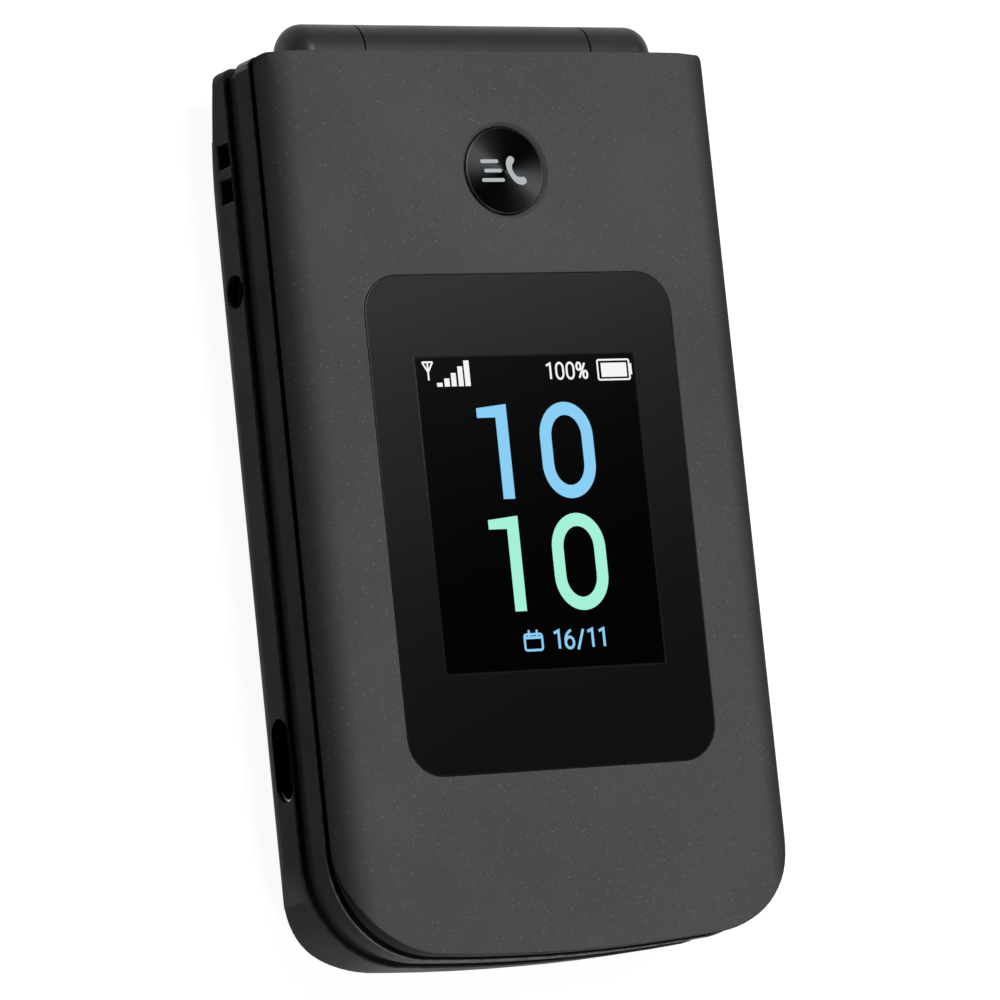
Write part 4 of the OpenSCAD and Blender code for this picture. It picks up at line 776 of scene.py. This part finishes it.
DISH, DISH_R, FLANGE, STEM_R, STEM_Z, ROUND_POINTS = 0.12, 4.8, 0.7, 1.5, 1.5, 96
disc, flange, stem = (disc_plan(r, button_x, button_y, ROUND_POINTS)
                      for r in (BUTTON_R, BUTTON_R + FLANGE, STEM_R))
button_profile = [(0, 1.0), (0, 0.1), (0.02, 0.06), (0.06, 0.02), (0.12, 0)]
button_profile += [(inset, DISH * (1 - ((BUTTON_R - inset) / DISH_R) ** 2))
                   for inset in np.linspace(0.2, BUTTON_R - 0.05, 18)]
rings = np.concatenate([stack(flange, [(0, button_hi - STEM_Z), (0, button_hi - 1.0)]),
                        stack(disc, [(inset, button_hi - drop) for inset, drop in button_profile])])
stem_rings = stack(stem, [(0, button_hi - STEM_Z), (0, button_lo)])
# The last value aims the button's painted highlight fan
piece("quick_button_cap", [band(rings), cap(rings[-1]), cap(rings[0], stem_rings[0]), band(stem_rings),
                           cap(stem_rings[-1])],
      "quick_button", turned("turned_black", 5, 40, 0.38, (button_x, button_y), 1.0, (-0.8, 0.6)))


# Half of a telephone handset, from the middle of its back to the middle of its grip's inner side
HANDSET = np.array([(-0.95, 0.0), (-0.86, 0.9), (-0.5, 1.6), (0.1, 1.98), (0.62, 1.86), (0.78, 1.42),
                    (0.6, 1.06), (0.1, 0.92), (-0.22, 0.5), (-0.3, 0.0)])


def handset(x, y, size, turn, z, thick):
    """A plain telephone handset from above, turned by an angle in degrees: half of its outline and the
    mirror image of that half. Its corners are cut three times over, where every side is kept from a
    quarter to three quarters of its length."""
    loop = np.concatenate([HANDSET, (HANDSET[::-1] * (1, -1))[1:-1]])
    for _ in range(3):
        ahead = np.roll(loop, -1, 0)
        loop = np.stack([loop * 0.75 + ahead * 0.25, loop * 0.25 + ahead * 0.75], 1).reshape(-1, 2)
    return plate(spun(loop * size, turn) + (x, y), z, thick)


# The sign stands on the dished face: a handset, with three bars for quick dialling
SIGN_T, BAR_W, BAR_R, BAR_STEP = 0.06, 0.42, 0.2, 1.05
sign_z = button_hi - DISH + 0.03
sign = handset(button_x + 1.35, button_y - 0.1, 0.92, 30, sign_z, SIGN_T)
for row, (left, right) in enumerate([(-3.0, -0.7), (-2.6, -0.35), (-3.0, -0.1)]):
    bar_x, bar_y = button_x + (left + right) / 2, button_y + BAR_STEP * (1 - row)
    sign += moulded(box_plan(right - left, BAR_W, BAR_R, bar_x, bar_y, 5), sign_z, sign_z + SIGN_T,
                    0.01, 0.01, 1, flat=0.04)
SIGN_GREY = moulding("printed_sign", (168, 182, 190), 0.45, gloss=0.15)
piece("handset_sign", sign, "quick_button", SIGN_GREY, False, printed=True)

# %% [markdown]
# ## The lid's frame
# The frame is a black tray under the cover. Its side ends in a ridge that stands out past the cover's
# edge, so that a dark groove runs round the lid. Its shape comes from the model; easing its edge by a
# fifth of a millimetre rounds the ridge, and a light tone painted along that round, a painted highlight,
# makes the fine bead of light that runs round the phone.

# %% Lid frame and hinge barrel
BARREL_GREY = moulding("barrel_lacquer", (28, 34, 60), 0.42, gloss=0.22)
SAME_SIDE = 0.06


def lacquer_barrel(o):
    """Gives the barrel's own finish to the faces that lie within its reach of the hinge axis."""
    centre = values_of(o.data.polygons, "center", 3) / MM
    barrel = np.hypot(centre[:, 1] - AXIS_Y, centre[:, 2] - AXIS_Z) < BARREL_REACH
    o.data.materials.append(BARREL_GREY)
    o.data.polygons.foreach_set("material_index", barrel.astype(np.int32))
    print(o.name, "barrel faces:", int(barrel.sum()))


def on_ridge(at):
    """Whether points lie on the ridge that runs round the frame, up to the hinge end."""
    return (inset_of(at, FRAME_FOOT) < SAME_SIDE) & (at[:, 1] < END - 0.1) & (abs(at[:, 2] - RIDGE_Z) < 0.1)


# The frame's light edge tone, laid only on the ridge's round, is a painted highlight: the bead of light
FRAME_BLACK = moulding("frame_plastic", (23, 30, 165), 0.45, gloss=0.03, wear_and_highlight=1.3)
lacquer_barrel(eased("lid_frame", 0.2, 3, FRAME_BLACK, on_ridge))

# %% [markdown]
# ## The base
# The two half shells of the base are matt black. The front half steps in under the lid, and the rear
# half's rim stands out below it. Their edges are rounded by about as much as the lid's.

# %% Base shells and battery cover
STEP_IN, STEP_FROM_Z, RIM_REACH = 0.7, 9, 0.08


def on_step(at):
    """Whether points lie on the upper edge of the front half's stepped side."""
    at_side = abs(inset_of(at, FOOT) - STEP_IN) < SAME_SIDE
    return at_side & (at[:, 1] < END - 1) & (at[:, 2] > STEP_FROM_Z)


def on_outline(at):
    """Whether points lie on the phone's outline, or hardly inside it."""
    return inset_of(at, FOOT) < RIM_REACH


lacquer_barrel(eased("front_case", 0.2, pick=on_step))
eased("rear_case", 0.22, 3, pick=on_outline)
eased("battery_cover", 0.15)

# %% [markdown]
# ## Keypad
# Each key is a moulded cap with a cushioned top: its edge is rounded tightly, then the surface rises on
# a quarter sine towards a flat middle, so that a thumb finds it without looking. The figures are
# printed in white. All the caps come from one profile carried round each key's own outline.

# %% Key caps
KEY_FOOT, KEY_ROUND, KEY_CROWN, KEY_REACH, KEY_R = 0.05, 0.22, 0.22, 2.0, 2.2
PRINT_T = 0.012
KEY_PRINT = moulding("key_print", (206, 220, 226), 0.5, gloss=0.15)
GREEN_TINT, RED_TINT = (0.25, 1.25, 0.45), (1.5, 0.16, 0.14)
CALL_GREEN = moulding("call_print", ((150, GREEN_TINT), (165, GREEN_TINT), 190), 0.5)
END_RED = moulding("end_print", ((160, RED_TINT), (172, RED_TINT), 190), 0.5)


def key_cap(node, plan=None):
    """A cap over the whole box of its key, with the cushioned top at the box's upper side. It gives the
    middle of the key and the height of its print."""
    low, high = box_of(node)
    x, y, lo, hi = middle(node)
    plan = plan or box_plan(high[0] - low[0], high[1] - low[1], KEY_R, x, y, 9)
    piece(node + "_cap", moulded(plan, lo, hi, KEY_FOOT, KEY_ROUND, 4, KEY_CROWN, KEY_REACH), node)
    return x, y, hi - PRINT_T / 2


def key_print(node, patches, finish=KEY_PRINT):
    """The print on a key."""
    piece(node + "_print", patches, node, finish, False, printed=True)


NUMBERS = {**{f"key_{n}": str(n) for n in range(1, 10)}, "key_star": "*", "key_0": "0", "key_hash": "#"}
FIGURE_H, FIGURE_PEN, FIGURE_SQUEEZE = 4.0, 0.5, 0.92
for node, mark in NUMBERS.items():
    x, y, z = key_cap(node)
    key_print(node, figures(mark, x - FIGURE_H / CELL_H * FIGURE_SQUEEZE / 2, y - FIGURE_H / 2, FIGURE_H,
                            FIGURE_PEN, z, FIGURE_SQUEEZE, thick=PRINT_T))

# %% [markdown]
# ## Control keys
# Beside the ring stand two soft keys over the call and end keys. The ring is a turned metal part: a
# shallow dish between two broken edges, drawn as a section that is carried round a circle, with a dot
# for each of its four directions. The OK key in its middle is a small cushioned disc.

# %% Control keys and navigation ring
DASH, DASH_PEN, HANDSET_SIZE = 1.7, 0.6, 1.15
for node in ("soft_key_left", "soft_key_right"):
    x, y, z = key_cap(node)
    key_print(node, stroke([(x - DASH, y), (x + DASH, y)], DASH_PEN, z, PRINT_T))
for node, turn, colour in (("call_key", 30, CALL_GREEN), ("end_key", -90, END_RED)):
    x, y, z = key_cap(node)
    key_print(node, handset(x, y, HANDSET_SIZE, turn, z, PRINT_T), colour)

ring_x, ring_y, ring_lo, ring_hi = middle("nav_ring")
NAV_R, HOLE_R, DISH_DEPTH, LIP = 12.0, 5.75, 0.22, 0.35
DOT_R, DOT_AT = 0.42, 8.9
ring_w = NAV_R - HOLE_R
across = np.linspace(LIP, ring_w - LIP, 12)
dished = ring_hi - DISH_DEPTH * np.sin(np.pi * (across - LIP) / (ring_w - 2 * LIP))
lip = [(0, ring_hi - 0.25), (0.05, ring_hi - 0.08), (0.18, ring_hi)]
section = [(0, ring_lo)] + lip + list(zip(across, dished)) + [(ring_w - i, z) for i, z in lip[::-1]]
piece("nav_ring_turned", [band(stack(disc_plan(NAV_R, ring_x, ring_y, ROUND_POINTS),
                                     section + [(ring_w, ring_lo), (0, ring_lo)]))],
      "nav_ring", turned("ring_turned", 58, 74, 0.3, (ring_x, ring_y), 0.7), smooth=30)
dots = []
dish_z = ring_hi - DISH_DEPTH
for a in np.radians([0, 90, 180, 270]):
    spot = disc_plan(DOT_R, ring_x + DOT_AT * math.cos(a), ring_y + DOT_AT * math.sin(a), 20)
    dots += moulded(spot, dish_z - 0.05, dish_z + 0.04, 0.01, 0.02, 1, flat=0.05)
piece("nav_ring_marks", dots, "nav_ring", KEY_PRINT, False, printed=True)
OK_R, OK_SIGN_R, OK_PEN = 5.6, 1.5, 0.4
ok_x, ok_y, _, _ = middle("ok_key")
_, _, z = key_cap("ok_key", disc_plan(OK_R, ok_x, ok_y))
key_print("ok_key", stroke(disc_plan(OK_SIGN_R, ok_x, ok_y, 40)(0), OK_PEN, z, PRINT_T, True))
eased("volume_up_key", 0.25, 3)
eased("volume_down_key", 0.25, 3)

# %% [markdown]
# ## Inner window and main display
# Inside the lid lies the large window with the main display behind it. The panel is a common one of
# 2.8 inches with three by four sides, so its lit area is 43.2 by 57.6 mm. Its picture is the phone's
# own idle screen: a soft background, the time, the date and plain signs. It faces down when the phone is
# closed, so it is drawn upright first and then laid face down: its height runs towards the foot end.

# %% Inner window
inner_x, inner_y, inner_lo, inner_hi = middle("inner_window")
slab = moulded(box_plan(49.0, 70.8, 2.45, inner_x, inner_y), inner_lo, inner_hi, 0.12, 0.1, 3)
piece("inner_window_glass", slab, "inner_window", glass_tone("inner_glass", 12, 16, -40, 40, 0.2))


def inner_picture(name, patches, finish):
    """A piece of the picture, drawn upright in (right, up, out) around the window's middle and laid on
    its lower side."""
    laid = [(points * (1, -1, -1) + (inner_x, inner_y, inner_lo), f) for points, f in patches]
    piece(name, laid, "inner_display", finish, False)


def wallpaper(name):
    """A lit background: deep blue that turns to teal along the screen, with slow waves of light."""
    n = Nodes(bpy.data.materials.new(name))
    where = n.place()
    wave = n.add("TexWave", {"Vector": where, "Scale": 9.0, "Distortion": 3.0, "Detail": 2.0,
                             "Detail Scale": 0.6}, bands_direction="DIAGONAL").outputs["Fac"]
    fall = n.span(n.add("SeparateXYZ", {0: where}).outputs["Y"], 0.03, -0.034, 0.0, 0.8)
    rise = n.math("ADD", fall, n.math("MULTIPLY", wave, 0.2), clamp=True)
    shade = n.mix(rise, (0.012, 0.035, 0.11, 1), (0.03, 0.22, 0.30, 1))
    return glowing(n, shade, n.span(wave, 0.0, 1.0, 0.1, 0.14), 0.2)


SCREEN_T, SCREEN_W, SCREEN_L = 0.006, 43.2, 57.6
screen = moulded(box_plan(SCREEN_W, SCREEN_L, 0.2, fine=3), -0.3, SCREEN_T, 0.05, 0.003, 2)
inner_picture("main_screen", screen, wallpaper("idle_wallpaper"))

# %% Idle screen
THIN_INK, TILE_INK = 0.012, 0.008
TILE_X, TILE_Y, TILE_W, DOT_GAP = 13.5, -17.5, 10.6, 1.5
idle = figures("10:10", -15.0, 5.0, 10.5, 0.85, SCREEN_T, 0.85, 0.16, THIN_INK)
idle += figures("16/11", -5.3, -1.0, 3.4, 0.38, SCREEN_T, 0.95, 0.22, THIN_INK)
for step in range(5):
    bar_x = -19.6 + 1.2 * step
    idle += stroke([(bar_x, 25.0), (bar_x, 25.9 + 0.45 * step)], 0.8, SCREEN_T, THIN_INK)
idle += figures("100%", 7.9, 25.0, 2.3, 0.3, SCREEN_T, 0.95, 0.25, THIN_INK)
idle += stroke(box_plan(4.4, 2.4, 0.2, 18.0, 26.2, 3)(0), 0.25, SCREEN_T, THIN_INK, True)
idle += stroke([(16.4, 26.2), (19.6, 26.2)], 1.5, SCREEN_T, THIN_INK)
inner_picture("idle_signs", idle, WHITE)
tiles = []
for column in (-TILE_X, 0.0, TILE_X):
    tiles += moulded(box_plan(TILE_W, TILE_W, 2.4, column, TILE_Y), SCREEN_T - 0.1, SCREEN_T + 0.006,
                     0.02, 0.003, 1)
inner_picture("idle_tiles", tiles, lit("panel_dark", (0.008, 0.02, 0.04)))
tile_z = SCREEN_T + 0.008
tile_signs = handset(-TILE_X, TILE_Y, 1.7, 30, tile_z, TILE_INK)
tile_signs += stroke(box_plan(6.2, 4.4, 0.5, 0, TILE_Y, 3)(0), 0.45, tile_z, TILE_INK, True)
tile_signs += stroke([(-2.9, -15.6), (0, -17.9), (2.9, -15.6)], 0.45, tile_z + 0.001, TILE_INK)
for dx in (-DOT_GAP, DOT_GAP):
    for dy in (-DOT_GAP, DOT_GAP):
        tile_signs += moulded(box_plan(2.2, 2.2, 0.5, TILE_X + dx, TILE_Y + dy, 4), SCREEN_T - 0.05,
                              SCREEN_T + 0.014, 0.02, 0.003, 1)
inner_picture("tile_signs", tile_signs, GREEN)

# %% [markdown]
# ## Small parts inside the lid
# The earpiece is heard through a slot with a woven steel mesh. Four screws hold the lid's two halves,
# sunk in the plate, each with a cross recess in its head; rubber bumpers keep the halves apart. The
# mesh is made as real wires that pass over and under each other: each follows a cosine along its way.

# %% Earpiece mesh
ear_x, ear_y, ear_lo, ear_hi = middle("earpiece_mesh")
ear_low, ear_high = box_of("earpiece_mesh")
WIRE_R, WIRE_SIDES, PITCH, RIM_W = (ear_hi - ear_lo) / 4.2, 5, 0.32, 0.2


def wire(start, stop, phase, across, lengthways):
    """A wire as a tube with closed ends, whose rings stand across its way. It rises and falls on a
    cosine of the crossing wires' pitch, and the phase alternates from one wire to the next."""
    along = start + (stop - start) * np.linspace(0, 1, 2 * max(int(abs(stop - start) / PITCH), 1) + 1)
    lift = (ear_lo + ear_hi) / 2 + WIRE_R * 0.95 * np.cos(math.pi * (along - start) / PITCH + phase)
    a = np.linspace(0, 2 * math.pi, WIRE_SIDES, endpoint=False)
    one = np.broadcast_to(along[:, None], (len(along), WIRE_SIDES))
    two = across + np.broadcast_to(WIRE_R * np.cos(a), one.shape)
    up = lift[:, None] + WIRE_R * np.sin(a)
    rings = np.stack([one, two, up] if lengthways else [two, one, up], -1)
    corners = np.arange(WIRE_SIDES)[None]
    return [band(rings), (rings[0], corners), (rings[-1], corners[:, ::-1])]


woven = []
for n, x in enumerate(np.arange(ear_low[0] + 0.45, ear_high[0] - 0.4, PITCH)):
    woven += wire(ear_low[1] + 0.06, ear_high[1] - 0.06, math.pi * (n % 2), x, False)
for n, y in enumerate(np.arange(ear_low[1] + 0.22, ear_high[1] - 0.15, PITCH)):
    woven += wire(ear_low[0] + 0.3, ear_high[0] - 0.3, math.pi * (n % 2 + 1), y, True)
ear_w, ear_l = (ear_high - ear_low)[:2] - RIM_W
woven += stroke(box_plan(ear_w, ear_l, 0.65, ear_x, ear_y)(0), RIM_W, ear_lo, ear_hi - ear_lo, True)
piece("earpiece_mesh_woven", woven, "earpiece_mesh")

# %% Screws and bumpers
HEAD_R, HEAD_ROUND, HEAD_H, SHANK_R, TIP_ROUND = 1.5, 0.18, 0.9, 0.7, 0.2
CROSS_REACH, CROSS_ARM, CROSS_TAPER, CROSS_DEPTH = 0.85, 0.24, 0.3, 0.6


def cross_plan(x, y):
    """A cross recess: a plus sign with arms of one width."""
    a, b = CROSS_ARM, CROSS_REACH
    loop = np.array([(b, -a), (b, a), (a, a), (a, b), (-a, b), (-a, a), (-b, a), (-b, -a), (-a, -a),
                     (-a, -b), (a, -b), (a, -a)])
    return lambda inset: loop * (1 - inset / CROSS_REACH) + (x, y)


def screw(x, y, face_z, tip_z):
    """A screw that goes up from its head: the head's rim and face, the cross recess that narrows
    inwards, the shank, and a small round at its tip."""
    top = face_z + HEAD_H
    rounded = [(HEAD_ROUND - HEAD_ROUND * math.sin(a), face_z + HEAD_ROUND - HEAD_ROUND * math.cos(a))
               for a in np.radians([0, 30, 60, 90])]
    head = stack(disc_plan(HEAD_R, x, y, 32), [(0.25, face_z)] + rounded + [(0, top)])
    shank = stack(disc_plan(SHANK_R, x, y, 32), [(0, top), (0, tip_z - TIP_ROUND), (TIP_ROUND, tip_z)])
    recess = stack(cross_plan(x, y), [(0, face_z), (CROSS_TAPER, face_z + CROSS_DEPTH)])
    return [band(head), cap(head[0], recess[0]), band(recess), cap(recess[-1]), cap(head[-1], shank[0]),
            band(shank), cap(shank[-1])]


def corner_boxes(node):
    """The separate solids of a part, as boxes (low, high) in mm: its points in four quarters of plan."""
    points = np.array([v.co for v in frame["nodes"][node].data.vertices]) / MM
    centre = (points.min(0) + points.max(0)) / 2
    quarter = (points[:, 0] > centre[0]) * 2 + (points[:, 1] > centre[1])
    return [(points[quarter == q].min(0), points[quarter == q].max(0)) for q in range(4)]


SCREW_STEEL = moulding("screw_steel", (96, 116, 150), 0.38, metal=1.0, grain=3000)
for node in ("lid_screws", "case_screws"):
    patches = []
    for low, high in corner_boxes(node):
        patches += screw((low[0] + high[0]) / 2, (low[1] + high[1]) / 2, low[2], high[2])
    piece(node + "_turned", patches, node, SCREW_STEEL, smooth=30)
eased("lid_bumpers", 0.15)

# %% [markdown]
# ## Camera window
# The camera looks out of the sloping part of the back through a small glass disc. The disc is printed
# black round the lens, and the lens shows as a dark dome with a violet coating inside a fine metal ring.
# They are drawn flat, about the lens, and then turned onto the slope.

# %% Camera
SLOPE = math.radians(12.3)
WINDOW_R, HALF_T, LENS_R, RING_R, SEAT, PROUD = 4.0, 0.35, 1.9, 2.35, 0.05, 0.012
VIOLET, VIOLET_LIGHT = (0.7, 0.5, 1.6), (0.7, 0.6, 1.6)
window_middle = sum(box_of("camera_window")) / 2


def back_piece(name, patches, finish, **options):
    """A piece drawn around the window's middle with its outside downwards, turned about X onto the
    slope of the back."""
    c, s = math.cos(SLOPE), math.sin(SLOPE)
    turn = np.array([[1, 0, 0], [0, c, s], [0, -s, c]])
    piece(name, [(p @ turn + window_middle, f) for p, f in patches], "camera_window", finish, **options)


def from_face(r, *steps):
    """Rings of a circle, one for each (inset, height above the outer face of the glass)."""
    return stack(disc_plan(r), [(inset, rise - HALF_T) for inset, rise in steps])


back_piece("camera_window_glass", solid(from_face(WINDOW_R, (0.4, 0), (0.12, 0), (0.05, 0.03), (0, 0.12),
                                                  (0, 2 * HALF_T))),
           glass_tone("camera_glass", 10, 13, -40, 40, 0.35))
back_piece("camera_lens_ring", [band(from_face(RING_R, (0, SEAT), (0.02, -PROUD), (0.2, -PROUD),
                                               (0.24, SEAT), (0, SEAT)))],
           BY_SLOT["ring_metal"], replaces=False, slot="steel")
dome = [(LENS_R * (1 - math.sin(a)), -PROUD * math.cos(a)) for a in angles(90, 4, 10)]
back_piece("camera_lens", solid(from_face(LENS_R, (0, SEAT), *dome)),
           moulding("lens_coating", ((20, VIOLET), (30, VIOLET_LIGHT), 60), 0.05, gloss=0.8, depth=0.0004,
                    coat=1.0), replaces=False)

# %% [markdown]
# ## Floor, light and camera
# A product like this stands on a sweep of white card under large soft lamps. The card and the sky show
# as plain white to the camera and in reflections, while the lamps stay at a level where a colour comes
# out about as it is written. The card keeps a faint shadow, because part of its white is real light.

# %% Floor
def white_card():
    """White card: seen directly, in gloss or through glass it is nearly self-lit white, so that only a
    trace of the shadow shows, and for all other light it is a plain matt card. From below it is clear,
    so that the phone's back can be seen."""
    n = Nodes(bpy.data.materials.new("white_card"))
    ray = n.add("LightPath").outputs
    seen = n.math("MAXIMUM", ray["Is Camera Ray"], ray["Is Glossy Ray"], ray["Is Transmission Ray"])
    matt = n.add("BsdfDiffuse", {"Color": (0.12, 0.12, 0.12, 1)})
    shaded = n.add("BsdfDiffuse", {"Color": (0.22, 0.22, 0.22, 1)})
    white = n.add("AddShader", {0: shaded, 1: n.add("Emission", {"Strength": 0.94})})
    above = n.add("MixShader", {0: seen, 1: matt, 2: white})
    below = n.add("NewGeometry").outputs["Backfacing"]
    sided = n.add("MixShader", {0: below, 1: above, 2: n.add("BsdfTransparent")})
    n.add("OutputMaterial", {"Surface": sided})
    return n.owner


FLOOR_HALF, FLOOR_Z = 3000.0, -0.03
corners = [(x * FLOOR_HALF, y * FLOOR_HALF, FLOOR_Z) for x, y in ((-1, -1), (1, -1), (1, 1), (-1, 1))]
card = bpy.data.meshes.new("floor")
card.from_pydata((np.array(corners) * MM).tolist(), [], [(0, 1, 2, 3)])
card.materials.append(white_card())
floor = placed("floor", card)
print("floor:", 2 * FLOOR_HALF * MM, "m square")

# %% Lamps and sky
def soft_lamp(name, place, target, size, watts):
    """A square lamp of one side length, in metres, that faces its target."""
    lamp = bpy.data.lights.new(name, "AREA")
    lamp.shape, lamp.size, lamp.energy = "SQUARE", size, watts
    o = placed(name, lamp)
    o.location = place
    o.rotation_euler = (Vector(target) - Vector(place)).to_track_quat("-Z", "Y").to_euler()


soft_lamp("lamp_above", (0.14, 0.3, 0.92), (0, 0, 0), 0.32, 7.5)
soft_lamp("lamp_foot_side", (0.12, -0.55, 0.75), (0, -0.03, 0), 0.4, 2.3)
AMBIENT, WHITE_LEVEL = 0.04, 1.0
sky = Nodes(bpy.data.worlds.new("sky"))
ray = sky.add("LightPath").outputs
level = sky.span(ray["Is Glossy Ray"], 0.0, 1.0, AMBIENT, WHITE_LEVEL)
strength = sky.math("MAXIMUM", level, ray["Is Camera Ray"], ray["Is Transmission Ray"])
sky.add("OutputWorld", {"Surface": sky.add("Background", {"Strength": strength})})
bpy.context.scene.world = sky.owner
print("two soft lamps and a plain sky")

# %% Camera
lens_place = Vector((-310.9188, -69.6108, 543.5252)) * MM
turn_x, turn_y, turn_z = -0.110798705, 0.527490911, 0.102794826
facing = Matrix.Rotation(turn_z, 3, "Z") @ Matrix.Rotation(turn_x, 3, "X") @ Matrix.Rotation(turn_y, 3, "Y")
camera_data = bpy.data.cameras.new("camera")
camera_data.sensor_width, camera_data.lens = 36.0, 201.785
camera_data.clip_start, camera_data.clip_end = 0.01, 20
camera = placed("camera", camera_data)
camera.matrix_world = Matrix.Translation(lens_place) @ facing.transposed().to_4x4()
bpy.context.scene.camera = camera
bpy.context.scene.view_settings.view_transform = "Standard"
print("camera", round(lens_place.length, 3), "m from the phone")
